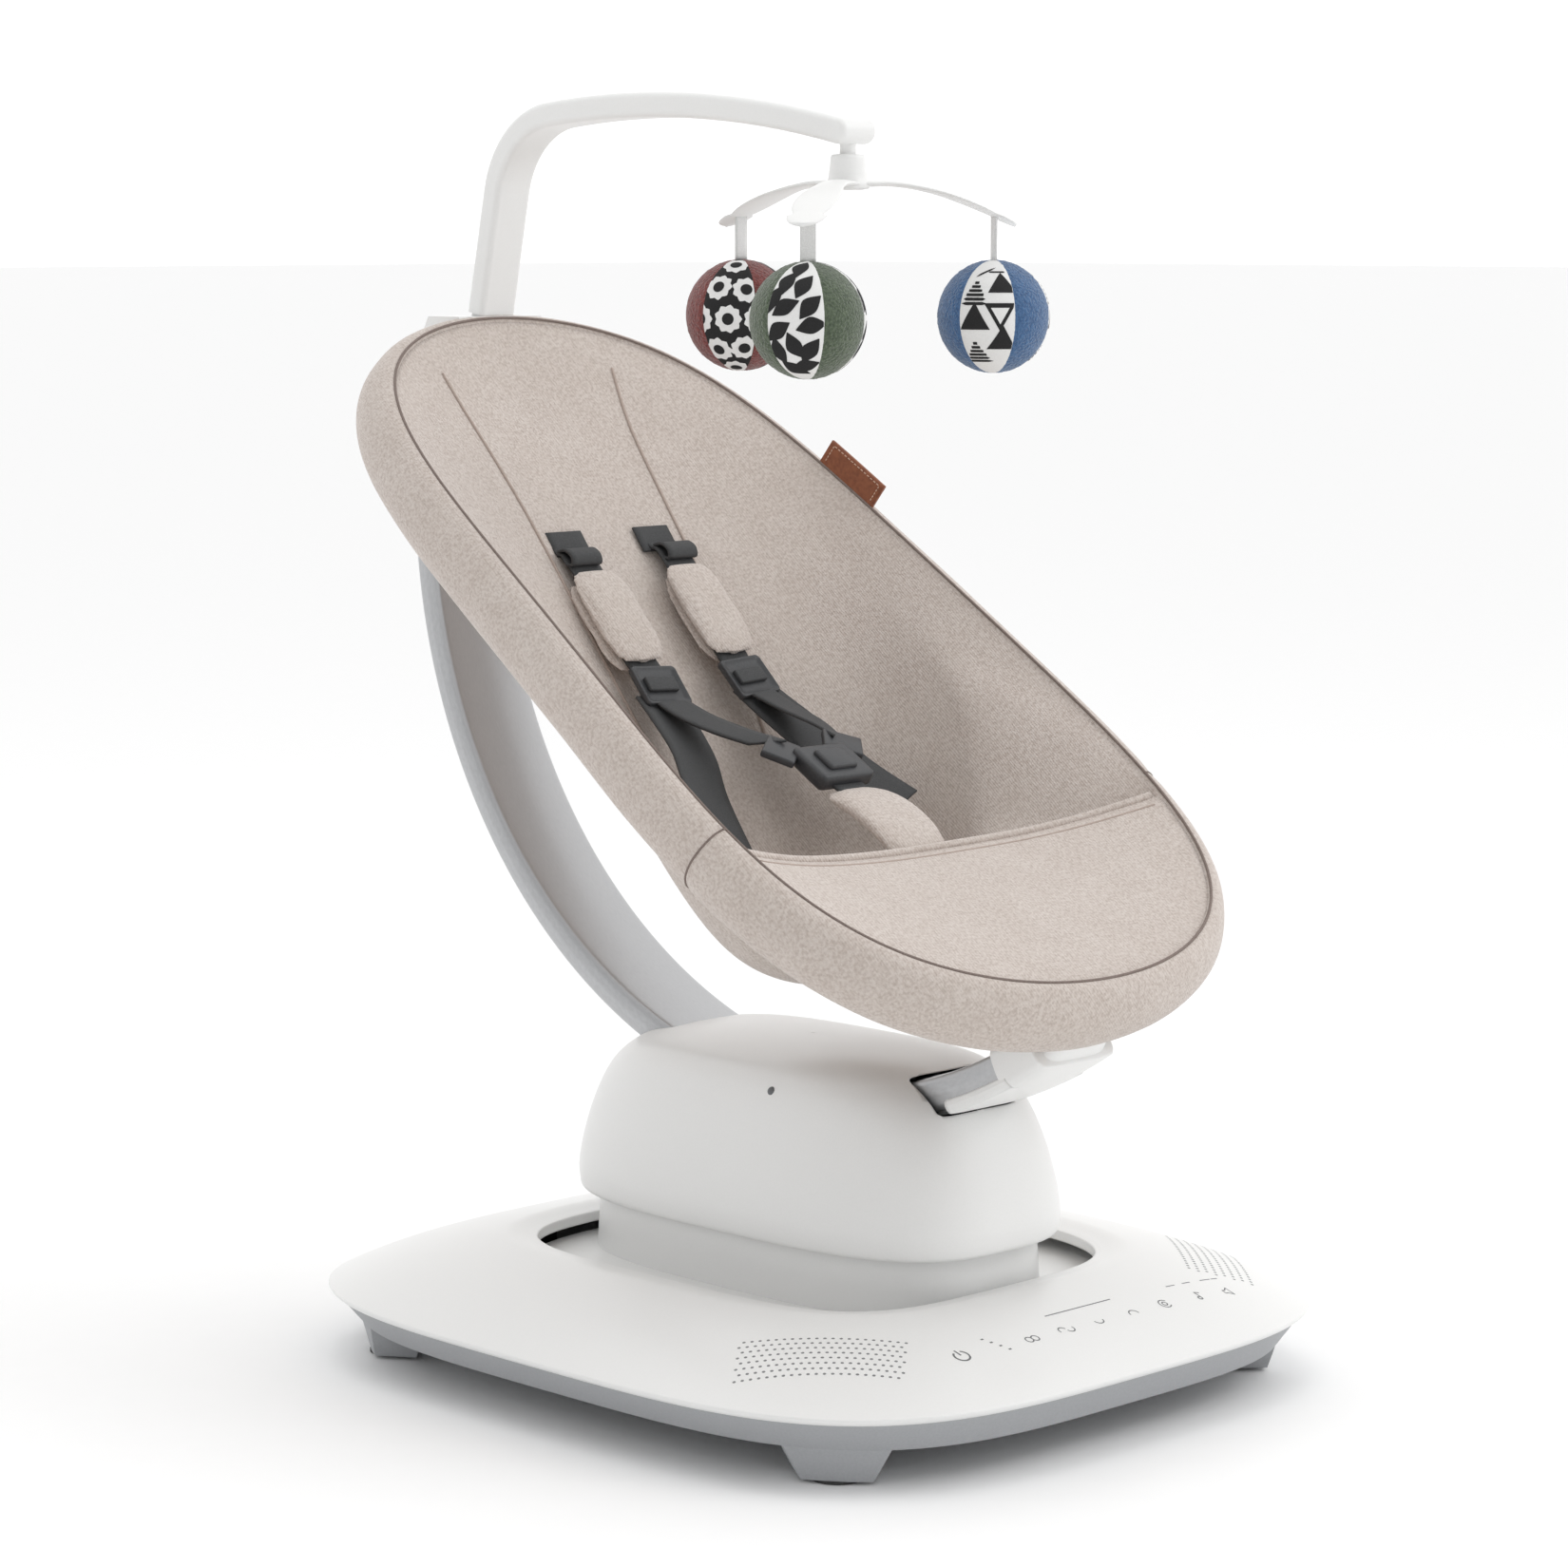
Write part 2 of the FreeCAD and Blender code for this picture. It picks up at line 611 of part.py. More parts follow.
def slab(start, end, across, width, thick):
    """A flat bar from start to end, its width along the given direction and its thickness square to both."""
    along = V(*end) - V(*start)
    side = V(*across)
    side = side - along * (side.dot(along) / along.dot(along))
    side.normalize()
    normal = side.cross(along)
    normal.normalize()
    corners = []
    for a, b in ((-1, -1), (1, -1), (1, 1), (-1, 1)):
        corners.append(V(*start) + side * (a * width / 2) + normal * (b * thick / 2))
    face = Part.Face(Part.makePolygon(corners + corners[:1]))
    return face.extrude(along)


def ring_tubes():
    hoop_outer = ring_stack([(-25, 7.5), (-22, 11), (-13, 11), (-10, 7.5)])
    hoop_inner = ring_stack([(-25.01, 3.5), (-22, 0), (-13, 0), (-9.99, 3.5)])
    hoop = in_seat(hoop_outer.cut(hoop_inner))
    for side, name in ((-1, "left"), (1, "right")):
        half = box(min(side * 20, side * 300), max(side * 20, side * 300), -400, 400, 100, 800)
        save("ring_tube_" + name, hoop.common(half))


def seat():
    cover = in_seat(ring_stack(COVER_LEVELS).cut(ring_stack([(-57, -3), (9, -3)])))
    room = in_seat(ring_stack([(-25.3, 7.8), (-22.2, 11.4), (-12.8, 11.4), (-9.7, 7.8)]))
    core = in_seat(ring_stack([(-25.4, 3.1), (-22, -0.4), (-13, -0.4), (-9.6, 3.1)]))
    cover = cover.cut(room.cut(core))
    cover = cover.cut(box(-36.3, 36.3, 280, 360, 560, 653))
    cover = cover.cut(box(-37, 37, -300, -180, 200, 257))
    cover = cover.cut(arm_leg_box(ARM_W / 2 + 1.0, ARM_T / 2 + 1.0, 10, 60))
    cover = max(cover.Solids, key=lambda solid: solid.Volume)
    save("rim_cover", cover)

    sling = bucket_solid(0, 0).cut(bucket_solid(SLING_T, SLING_T))
    sling = sling.cut(flap_solid(40, -6.5, 6))
    sling = max(sling.Solids, key=lambda solid: solid.Volume)
    save("seat_sling", in_seat(sling).cut(made["head_bracket"]))
    flap = flap_solid(-1.5, -5.5)
    flap = flap.common(ring_stack([(-60, -4), (5, -4)]))
    save("foot_flap", in_seat(flap))

    tag = slab((176, 112, 6), (171, 164, 6), (0, 0, 1), 26, 2.4)
    tag = tag.cut(ring_stack(COVER_LEVELS))
    save("leather_tag", in_seat(tag))


# where the webbing runs, in the ring's own plane: across, towards the head, off the plane
SLOT = (41, 153, -50)
ADJUSTER = (39, 40, -76)
HIP = (84, -122, -64)
TONGUE = (24, -62, -46)
BUCKLE = (0, -78, -46)
CROTCH_SLOT = (0, -166, -39)
PAD_T = 8.6
PAD_RISE = 3.0


def mirrored(point, side):
    return (point[0] * side, point[1], point[2])


def between(start, end, fraction):
    return tuple(a + (b - a) * fraction for a, b in zip(start, end))


def harness():
    across = (1, 0, 0)
    pieces = {}

    def add(name, shape):
        pieces.setdefault(name, []).append(in_seat(shape))

    for side in (-1, 1):
        slot = mirrored(SLOT, side)
        adjuster = mirrored(ADJUSTER, side)
        strap = slab(slot, between(slot, adjuster, 0.87), across, 25, 2)
        add("shoulder_straps", strap)
        pad_start = between(slot, adjuster, 0.12)
        pad_end = between(slot, adjuster, 0.80)
        pad = slab(pad_start, pad_end, across, 46, PAD_T)
        pad.translate(V(0, 0, PAD_RISE))
        pad = pad.cut(strap)
        add("shoulder_pads", pad)
        clip = slab(between(slot, adjuster, 0.88), between(slot, adjuster, 1.12), across, 34, 7)
        add("strap_adjusters", clip)
        start = between(slot, adjuster, 1.16)
        tongue = mirrored(TONGUE, side)
        hip = mirrored(HIP, side)
        add("hip_straps", slab((start[0] + side * 5, start[1], start[2] - 4), hip, across, 25, 2))
        lap_end = between(start, tongue, 0.82)
        add("lap_straps", slab((start[0] - side * 5, start[1], start[2] + 2), lap_end, across, 22, 2))
        blade = slab(between(start, tongue, 0.84), tongue, across, 24, 4)
        add("buckle_tongues", blade)
    for name, shapes in pieces.items():
        save(name, Part.makeCompound(shapes))
    buckle = slab((0, BUCKLE[1] - 20, BUCKLE[2]), (0, BUCKLE[1] + 14, BUCKLE[2]), across, 50, 14)
    pocket = box(-10.2, 10.2, BUCKLE[1] - 12.2, BUCKLE[1] + 8.2, BUCKLE[2] + 1, BUCKLE[2] + 20)
    buckle = buckle.cut(pocket)
    save("buckle", in_seat(buckle))
    button = box(-10, 10, BUCKLE[1] - 12, BUCKLE[1] + 8, BUCKLE[2] + 4.5, BUCKLE[2] + 9)
    save("buckle_button", in_seat(button))
    strap_start = (0, BUCKLE[1] - 21, BUCKLE[2])
    strap = slab(strap_start, CROTCH_SLOT, across, 25, 2)
    save("crotch_strap", in_seat(strap))
    pad = slab(between(strap_start, CROTCH_SLOT, 0.04), between(strap_start, CROTCH_SLOT, 0.92), across, 54, 12)
    save("crotch_pad", in_seat(pad.cut(strap)))


# ---------------------------------------------------------------- mobile

def arm_outline(offset):
    """The arm's centre line moved sideways: a straight leg, a tight bend, then a long shallow arch."""
    top_r = 830.0
    bend_r = 62.0
    arch_y = 145.0
    arch_z = 785.0 - top_r
    foot = V(0, ARM_FOOT[0], ARM_FOOT[1])
    up = V(0, -math.sin(ARM_LEAN), math.cos(ARM_LEAN))
    out = V(0, math.cos(ARM_LEAN), math.sin(ARM_LEAN))
    low, high = 0.0, 400.0
    for _ in range(60):
        middle = (low + high) / 2
        centre = foot + up * middle - out * bend_r
        gap = math.hypot(centre.y - arch_y, centre.z - arch_z) - (top_r - bend_r)
        if gap > 0:
            high = middle
        else:
            low = middle
    centre = foot + up * middle - out * bend_r
    arch = V(0, arch_y, arch_z)
    meet_dir = centre - arch
    meet_dir.normalize()
    nose_angle = -math.asin((arch_y - (MOBILE_Y - 3)) / top_r)
    nose_dir = V(0, math.sin(nose_angle), math.cos(nose_angle))
    mid_dir = meet_dir + nose_dir
    mid_dir.normalize()
    bend_dir = meet_dir + out
    bend_dir.normalize()
    start = foot + out * offset
    leg_end = centre + out * (bend_r + offset)
    bend_mid = centre + bend_dir * (bend_r + offset)
    meet = centre + meet_dir * (bend_r + offset)
    arch_mid = arch + mid_dir * (top_r + offset)
    nose = arch + nose_dir * (top_r + offset)
    return start, leg_end, bend_mid, meet, arch_mid, nose


def mobile():
    outer = arm_outline(ARM_T / 2)
    inner = arm_outline(-ARM_T / 2)
    edges = []
    for start, leg_end, bend_mid, meet, arch_mid, nose in (outer, inner):
        edges.append(Part.makeLine(start, leg_end))
        edges.append(Part.Arc(leg_end, bend_mid, meet).toShape())
        edges.append(Part.Arc(meet, arch_mid, nose).toShape())
    nose_tip = (outer[5] + inner[5]) * 0.5 + V(0, -ARM_T / 2, 0)
    edges.append(Part.Arc(outer[5], nose_tip, inner[5]).toShape())
    edges.append(Part.makeLine(outer[0], inner[0]))
    face = Part.Face(Part.Wire(Part.sortEdges(edges)[0]))
    arm = face.extrude(V(ARM_W, 0, 0))
    arm.translate(V(-ARM_W / 2, 0, 0))
    arm = arm.makeFillet(4, [edge for edge in arm.Edges if edge.Length > 90 and edge.BoundBox.XLength < 0.1])
    arm = arm.cut(arm_leg_box(ARM_W, ARM_T, 0, 12))
    tang = arm_leg_box(12, 5, 46, 14)
    arm = arm.fuse(tang).removeSplitter()
    pin_hole = Part.makeCylinder(5 + SLIDE_FIT, 14, V(0, MOBILE_Y, 754))
    save("mobile_arm", arm.cut(pin_hole))

    neck = Part.makeCylinder(5, 24, V(0, MOBILE_Y, 744))
    cap = Part.makeCone(12.5, 9, 17, V(0, MOBILE_Y, 735))
    leaves = []
    for degrees in (90, 210, 330):
        leaf = box(6, 60, -7, 7, 730, 734)
        tip = box(54, 107, -9, 9, 730, 734)
        tip.rotate(V(58, 0, 732), V(0, 1, 0), 21)
        leaf = leaf.fuse(tip)
        leaf.rotate(V(0, 0, 0), V(0, 0, 1), degrees)
        leaf.translate(V(0, MOBILE_Y, 0))
        leaves.append(leaf)
    hub = fuse([cap, neck, Part.makeCylinder(12.5, 6, V(0, MOBILE_Y, 729))] + leaves)
    save("mobile_hub", hub)

    for degrees, name in ((90, "red"), (210, "green"), (330, "blue")):
        angle = math.radians(degrees)
        x = BALL_RING_R * math.cos(angle)
        y = MOBILE_Y + BALL_RING_R * math.sin(angle)
        ribbon = box(-0.8, 0.8, -5, 5, BALL_Z + BALL_R - 0.5, RIBBON_PIN_Z)
        ribbon = ribbon.fuse(rod(1.2, (0, -6, RIBBON_PIN_Z), (0, 6, RIBBON_PIN_Z)))
        ribbon.rotate(V(0, 0, 0), V(0, 0, 1), degrees)
        ribbon.translate(V(x, y, 0))
        ball = Part.makeSphere(BALL_R, V(x, y, BALL_Z))
        save("ball_" + name, ball)
        save("ribbon_" + name, ribbon.cut(ball))


base()
carriage()
tower()
bow()
ring_tubes()
brackets()
seat()
harness()
mobile()
print("nodes", len(made), "y shift", round(Y_MID, 3))
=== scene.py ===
import bpy
import bmesh
import json
import math
from mathutils import Matrix, Vector, noise
from mathutils.bvhtree import BVHTree


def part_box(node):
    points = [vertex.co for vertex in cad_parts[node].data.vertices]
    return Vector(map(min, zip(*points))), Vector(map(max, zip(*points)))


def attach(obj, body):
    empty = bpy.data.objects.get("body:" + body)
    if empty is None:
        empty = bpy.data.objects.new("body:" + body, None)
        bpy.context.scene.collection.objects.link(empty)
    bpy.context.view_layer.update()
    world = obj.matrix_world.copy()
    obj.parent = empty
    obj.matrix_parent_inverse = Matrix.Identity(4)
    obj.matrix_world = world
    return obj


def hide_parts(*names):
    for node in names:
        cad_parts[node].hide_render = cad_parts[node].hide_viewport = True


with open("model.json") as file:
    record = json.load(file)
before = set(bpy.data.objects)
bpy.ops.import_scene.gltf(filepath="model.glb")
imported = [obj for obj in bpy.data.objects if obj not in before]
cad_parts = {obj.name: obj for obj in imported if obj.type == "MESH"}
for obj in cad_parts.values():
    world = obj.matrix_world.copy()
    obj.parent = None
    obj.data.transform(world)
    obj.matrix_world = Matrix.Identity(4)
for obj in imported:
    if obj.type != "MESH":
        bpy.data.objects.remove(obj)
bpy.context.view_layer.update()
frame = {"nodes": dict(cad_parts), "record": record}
print("frame loaded")

scene = bpy.context.scene
tau = 2 * math.pi
baseLow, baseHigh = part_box("base_top_shell")
baseMid = (baseLow.y + baseHigh.y) / 2


def at(x, y, z):
    return Vector((x / 1000, y / 1000 + baseMid, z / 1000))  # millimetres about the base's middle


seatPlane = {"y": 24.8, "z": 460.3, "tilt": math.radians(35), "halfLength": 327.0, "halfWidth": 179.0}


def onSeat(x, s, n):  # x across, s towards the head, n off the ring's plane
    c, k = math.cos(seatPlane["tilt"]), math.sin(seatPlane["tilt"])
    return at(x, seatPlane["y"] + s * c - n * k, seatPlane["z"] + s * k + n * c)


# small helpers

def finishMesh(name, bm, material, body, replaced=(), smooth=True, recalc=True):
    bmesh.ops.remove_doubles(bm, verts=bm.verts, dist=1e-6)
    if recalc:
        bmesh.ops.recalc_face_normals(bm, faces=bm.faces)
    mesh = bpy.data.meshes.new(name)
    bm.to_mesh(mesh)
    bm.free()
    piece = bpy.data.objects.new(name, mesh)
    scene.collection.objects.link(piece)
    for each in material if isinstance(material, (list, tuple)) else [material]:
        mesh.materials.append(each)
    for polygon in mesh.polygons:
        polygon.use_smooth = smooth
    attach(piece, body)
    if replaced:
        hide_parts(*replaced)
    return piece


def wrapGrid(across, along, shape, cap=False):
    bm = bmesh.new()
    bmesh.ops.create_grid(bm, x_segments=across, y_segments=along, size=0.5)
    layer = bm.loops.layers.uv.new("wrap")
    for face in bm.faces:
        for loop in face.loops:
            loop[layer].uv = (loop.vert.co.x + 0.5, loop.vert.co.y + 0.5)
    for vert in bm.verts:
        vert.co = shape(vert.co.x + 0.5, vert.co.y + 0.5)
    bmesh.ops.remove_doubles(bm, verts=bm.verts, dist=2e-6)
    bmesh.ops.dissolve_degenerate(bm, edges=bm.edges, dist=1e-7)
    if cap:
        bmesh.ops.holes_fill(bm, edges=bm.edges, sides=0)
    return bm


def mergeInto(bm, part):
    mesh = bpy.data.meshes.new("part")
    part.to_mesh(mesh)
    part.free()
    bm.from_mesh(mesh)
    bpy.data.meshes.remove(mesh)


def smoothPoint(points, t, closed=False):  # Catmull-Rom through the points, t from 0 to 1
    count = len(points)
    spans = count if closed else count - 1
    place = min(max(t, 0.0), 1.0) * spans
    i = min(int(place), spans - 1)
    f = place - i

    def pick(k):
        return Vector(points[k % count]) if closed else Vector(points[min(max(k, 0), count - 1)])

    a, b, c, d = pick(i - 1), pick(i), pick(i + 1), pick(i + 2)
    return 0.5 * (2 * b + (c - a) * f + (2 * a - 5 * b + 4 * c - d) * f * f + (3 * b - a - 3 * c + d) * f ** 3)


def ovalPoint(angle, halfX, halfY, power):
    c, s = abs(math.cos(angle)) / halfX, abs(math.sin(angle)) / halfY
    radius = 1 / (c ** power + s ** power) ** (1 / power)
    return radius * math.cos(angle), radius * math.sin(angle)


def addModifier(piece, kind, **values):
    modifier = piece.modifiers.new(kind.lower(), kind)
    for key, value in values.items():
        setattr(modifier, key, value)
    return modifier


def applyModifiers(piece):
    graph = bpy.context.evaluated_depsgraph_get()
    mesh = bpy.data.meshes.new_from_object(piece.evaluated_get(graph))
    piece.modifiers.clear()
    old = piece.data
    piece.data = mesh
    bpy.data.meshes.remove(old)


# materials

def newMaterial(name, color, roughness, metallic=0.0, **sockets):
    material = bpy.data.materials.new(name)
    material.use_nodes = True
    nodes = material.node_tree.nodes
    shader = nodes["Principled BSDF"]
    shader.inputs["Base Color"].default_value = (*color, 1)
    shader.inputs["Roughness"].default_value = roughness
    shader.inputs["Metallic"].default_value = metallic
    for key, value in sockets.items():
        shader.inputs[key.replace("_", " ")].default_value = value
    return material, nodes, material.node_tree.links, shader


def grain(name, color, darker, roughness, scale, bump, depth=0.0004, metallic=0.0, stretch=(1, 1, 1), **sockets):
    material, nodes, links, shader = newMaterial(name, color, roughness, metallic, **sockets)
    place = nodes.new("ShaderNodeTexCoord")
    mapping = nodes.new("ShaderNodeMapping")
    mapping.inputs["Scale"].default_value = stretch
    speckle = nodes.new("ShaderNodeTexNoise")
    speckle.inputs["Scale"].default_value = scale
    speckle.inputs["Detail"].default_value = 4
    ramp = nodes.new("ShaderNodeValToRGB")
    ramp.color_ramp.elements[0].position = 0.35
    ramp.color_ramp.elements[1].position = 0.65
    ramp.color_ramp.elements[0].color = (*darker, 1)
    ramp.color_ramp.elements[1].color = (*color, 1)
    height = nodes.new("ShaderNodeBump")
    height.inputs["Strength"].default_value = bump
    height.inputs["Distance"].default_value = depth
    links.new(place.outputs["Object"], mapping.inputs["Vector"])
    links.new(mapping.outputs["Vector"], speckle.inputs["Vector"])
    links.new(speckle.outputs["Fac"], ramp.inputs["Fac"])
    links.new(ramp.outputs["Color"], shader.inputs["Base Color"])
    links.new(speckle.outputs["Fac"], height.inputs["Height"])
    links.new(height.outputs["Normal"], shader.inputs["Normal"])
    return material


def knitMaterial(name, color, darker, light):
    material, nodes, links, shader = newMaterial(name, color, 0.92, Sheen_Weight=0.25, Sheen_Roughness=0.5)
    place = nodes.new("ShaderNodeTexCoord")
    heather = nodes.new("ShaderNodeTexNoise")
    heather.inputs["Scale"].default_value = 520
    heather.inputs["Detail"].default_value = 3
    patches = nodes.new("ShaderNodeTexNoise")
    patches.inputs["Scale"].default_value = 38
    patches.inputs["Detail"].default_value = 4
    turned = nodes.new("ShaderNodeMapping")
    turned.inputs["Rotation"].default_value = (0.6, 0.3, 0.8)
    ribs = nodes.new("ShaderNodeTexWave")
    ribs.inputs["Scale"].default_value = 210
    ribs.inputs["Distortion"].default_value = 2.5
    ribs.inputs["Detail"].default_value = 2
    ramp = nodes.new("ShaderNodeValToRGB")
    ramp.color_ramp.elements[0].position = 0.32
    ramp.color_ramp.elements[0].color = (*darker, 1)
    ramp.color_ramp.elements[1].position = 0.62
    ramp.color_ramp.elements[1].color = (*light, 1)
    middle = ramp.color_ramp.elements.new(0.48)
    middle.color = (*color, 1)
    blend = nodes.new("ShaderNodeMix")
    blend.data_type = "RGBA"
    blend.blend_type = "MULTIPLY"
    blend.inputs["Factor"].default_value = 0.18
    tone = nodes.new("ShaderNodeValToRGB")
    tone.color_ramp.elements[0].color = (0.72, 0.66, 0.62, 1)
    tone.color_ramp.elements[0].position = 0.3
    tone.color_ramp.elements[1].position = 0.7
    height = nodes.new("ShaderNodeBump")
    height.inputs["Strength"].default_value = 0.55
    height.inputs["Distance"].default_value = 0.0006
    fine = nodes.new("ShaderNodeBump")
    fine.inputs["Strength"].default_value = 0.35
    fine.inputs["Distance"].default_value = 0.0005
    links.new(place.outputs["Object"], heather.inputs["Vector"])
    links.new(place.outputs["Object"], patches.inputs["Vector"])
    links.new(place.outputs["Object"], turned.inputs["Vector"])
    links.new(turned.outputs["Vector"], ribs.inputs["Vector"])
    links.new(heather.outputs["Fac"], ramp.inputs["Fac"])
    links.new(patches.outputs["Fac"], tone.inputs["Fac"])
    links.new(ramp.outputs["Color"], blend.inputs["A"])
    links.new(tone.outputs["Color"], blend.inputs["B"])
    links.new(blend.outputs["Result"], shader.inputs["Base Color"])
    links.new(heather.outputs["Fac"], height.inputs["Height"])
    links.new(ribs.outputs["Fac"], fine.inputs["Height"])
    links.new(height.outputs["Normal"], fine.inputs["Normal"])
    links.new(fine.outputs["Normal"], shader.inputs["Normal"])
    return material


whiteShell = grain("whiteShell", (0.86, 0.86, 0.85), (0.845, 0.845, 0.835), 0.32, 900, 0.06, 0.0002)
greyPan = grain("greyPan", (0.40, 0.41, 0.425), (0.37, 0.38, 0.395), 0.5, 700, 0.12, 0.0003)
darkPlastic = grain("darkPlastic", (0.045, 0.047, 0.05), (0.035, 0.036, 0.04), 0.42, 800, 0.12, 0.0003)
darkRubber = grain("darkRubber", (0.05, 0.05, 0.05), (0.035, 0.035, 0.035), 0.75, 500, 0.2)
steelFinish = grain("steelFinish", (0.6, 0.61, 0.63), (0.5, 0.51, 0.53), 0.3, 400, 0.1, 0.0002, 1.0)
bronzeFinish = grain("bronzeFinish", (0.6, 0.42, 0.2), (0.5, 0.34, 0.15), 0.35, 400, 0.1, 0.0002, 1.0)
satinBow = grain("satinBow", (0.50, 0.505, 0.515), (0.46, 0.465, 0.475), 0.34, 260, 0.05, 0.0002, 0.8, (14, 1, 1))
# painted shade: the grey that stands for the dark inside of the speaker grille holes
grilleHoleShade = grain("grilleHoleShade", (0.24, 0.245, 0.25), (0.2, 0.205, 0.21), 0.6, 900, 0.1)
boardGreen = grain("boardGreen", (0.03, 0.16, 0.07), (0.02, 0.12, 0.05), 0.4, 900, 0.1)
knit = knitMaterial("knit", (0.575, 0.505, 0.46), (0.49, 0.42, 0.375), (0.64, 0.575, 0.53))
webbing = grain("webbing", (0.062, 0.064, 0.066), (0.042, 0.043, 0.045), 0.72, 1500, 0.5, 0.0005, 0.0, (1, 1, 1))
seamThread = grain("seamThread", (0.25, 0.2, 0.18), (0.18, 0.14, 0.12), 0.9, 1200, 0.4)
# seam lines on the knit: the seams are real, and their darker colour is painted shade of the seam creases
seamAndCreaseShade = grain("seamAndCreaseShade", (0.50, 0.41, 0.36), (0.42, 0.34, 0.3), 0.95, 1200, 0.4)
tagLeather = grain("tagLeather", (0.29, 0.095, 0.04), (0.21, 0.065, 0.028), 0.55, 320, 0.4, 0.0006)
tagThread = grain("tagThread", (0.72, 0.5, 0.38), (0.6, 0.4, 0.3), 0.8, 900, 0.4)
markGrey = grain("markGrey", (0.16, 0.165, 0.17), (0.13, 0.135, 0.14), 0.5, 900, 0.1)
terryRed = grain("terryRed", (0.235, 0.05, 0.042), (0.13, 0.026, 0.024), 0.95, 620, 1.0, 0.0015, Sheen_Weight=0.4)
terryGreen = grain("terryGreen", (0.105, 0.14, 0.085), (0.055, 0.078, 0.047), 0.95, 620, 1.0, 0.0015, Sheen_Weight=0.4)
terryBlue = grain("terryBlue", (0.065, 0.16, 0.33), (0.035, 0.095, 0.22), 0.95, 620, 1.0, 0.0015, Sheen_Weight=0.4)
printWhite = grain("printWhite", (0.83, 0.83, 0.82), (0.78, 0.78, 0.77), 0.85, 1400, 0.3)
printBlack = grain("printBlack", (0.014, 0.014, 0.015), (0.01, 0.01, 0.01), 0.85, 1400, 0.3)
ribbonWhite = grain("ribbonWhite", (0.82, 0.82, 0.81), (0.72, 0.72, 0.71), 0.8, 1500, 0.4)

slotFinishes = {
    "white_shell": whiteShell, "grey_pan": greyPan, "black_plastic": darkPlastic, "rubber_pad": darkRubber,
    "steel": steelFinish, "bronze": bronzeFinish, "bow_metal": satinBow, "board": boardGreen,
    "white_nylon": whiteShell, "knit_fabric": knit, "leather_tag": tagLeather, "webbing": webbing,
    "red_ball": terryRed, "green_ball": terryGreen, "blue_ball": terryBlue, "white_ribbon": ribbonWhite,
}
slotOf = {part["node"]: part["material_slot"] for part in frame["record"]["subparts"]}
for nodeName, node in frame["nodes"].items():
    finish = slotFinishes[slotOf[nodeName]]
    if node.material_slots:
        for materialSlot in node.material_slots:
            materialSlot.material = finish
    else:
        node.data.materials.append(finish)
print("materials ready")


# base

baseShape = {"halfX": 247.5, "halfY": 279.0, "power": 3.7, "rim": 45.0, "crown": 38.0,
             "hole": (134, 161, 4.0), "dish": (156, 181, 3.7), "drop": 4.5}


def crownZ(x, y):
    p = baseShape["power"]
    ratio = (abs(x / baseShape["halfX"]) ** p + abs(y / baseShape["halfY"]) ** p) ** (1 / p)
    return baseShape["rim"] + baseShape["crown"] * (1 - min(ratio, 1) ** 4)


def baseTopPoint(u, v):
    angle = u * tau
    hole = Vector(ovalPoint(angle, *baseShape["hole"]))
    dish = Vector(ovalPoint(angle, *baseShape["dish"]))
    rim = Vector(ovalPoint(angle, baseShape["halfX"], baseShape["halfY"], baseShape["power"]))
    if v < 0.08:  # wall of the slide hole
        t = v / 0.08
        return at(hole.x, hole.y, crownZ(hole.x, hole.y) - baseShape["drop"] - 7 * (1 - t) - 0.6 * t * t)
    if v < 0.35:  # the shallow dish
        t = (v - 0.08) / 0.27
        flat = hole.lerp(dish, t)
        ease = t * t * (3 - 2 * t)
        lip = 0.6 * max(0, 1 - t * 6)
        return at(flat.x, flat.y, crownZ(flat.x, flat.y) - baseShape["drop"] * (1 - ease) - lip)
    if v < 0.93:
        t = (v - 0.35) / 0.58
        flat = dish.lerp(rim, 1 - (1 - t) ** 1.5)
        return at(flat.x, flat.y, crownZ(flat.x, flat.y))
    t = (v - 0.93) / 0.07  # rolled edge and its underside
    turn = t * math.radians(150)
    shrink = 1 - 0.009 * (1 - math.cos(turn))
    return at(rim.x * shrink, rim.y * shrink, baseShape["rim"] - 2.3 * math.sin(turn) * 0.6 - 4 * t)


bm = wrapGrid(224, 64, baseTopPoint)
baseTop = finishMesh("baseTop", bm, whiteShell, "base", ("base_top_shell", "speaker_grilles"))
addModifier(baseTop, "SOLIDIFY", thickness=0.003, offset=-1)

grille = {"x": 173, "y": 178, "turn": 49, "columns": 21, "rows": 8, "pitchX": 4.7, "pitchY": 5.6, "radius": 1.05}


def surfaceFrame(x, y):
    here = at(x, y, crownZ(x, y))
    alongX = (at(x + 1, y, crownZ(x + 1, y)) - here).normalized()
    alongY = (at(x, y + 1, crownZ(x, y + 1)) - here).normalized()
    return here, alongX, alongY, alongX.cross(alongY).normalized()


# the grille holes are flat grey discs laid on the shell; their grey is painted shade in place of real holes
bm = bmesh.new()
for side in (-1, 1):
    turn = math.radians(side * grille["turn"])
    for row in range(grille["rows"]):
        for column in range(grille["columns"]):
            a = (column - (grille["columns"] - 1) / 2 + (row % 2) * 0.5 - 0.25) * grille["pitchX"]
            b = (row - (grille["rows"] - 1) / 2) * grille["pitchY"]
            x = side * grille["x"] + a * math.cos(turn) - b * math.sin(turn)
            y = -grille["y"] + a * math.sin(turn) + b * math.cos(turn)
            here, right, forward, up = surfaceFrame(x, y)
            place = Matrix((right, up.cross(right), up)).transposed().to_4x4()
            place.translation = here + up * 0.00002
            bmesh.ops.create_circle(bm, cap_ends=True, segments=10, radius=grille["radius"] / 1000, matrix=place)
grilleHoleShadeDiscs = finishMesh("grilleHoleShadeDiscs", bm, grilleHoleShade, "base", smooth=False, recalc=False)


def arcPoints(cx, cy, radius, start, end, steps=12):
    return [(cx + radius * math.cos(math.radians(start + (end - start) * i / steps)),
             cy + radius * math.sin(math.radians(start + (end - start) * i / steps))) for i in range(steps + 1)]


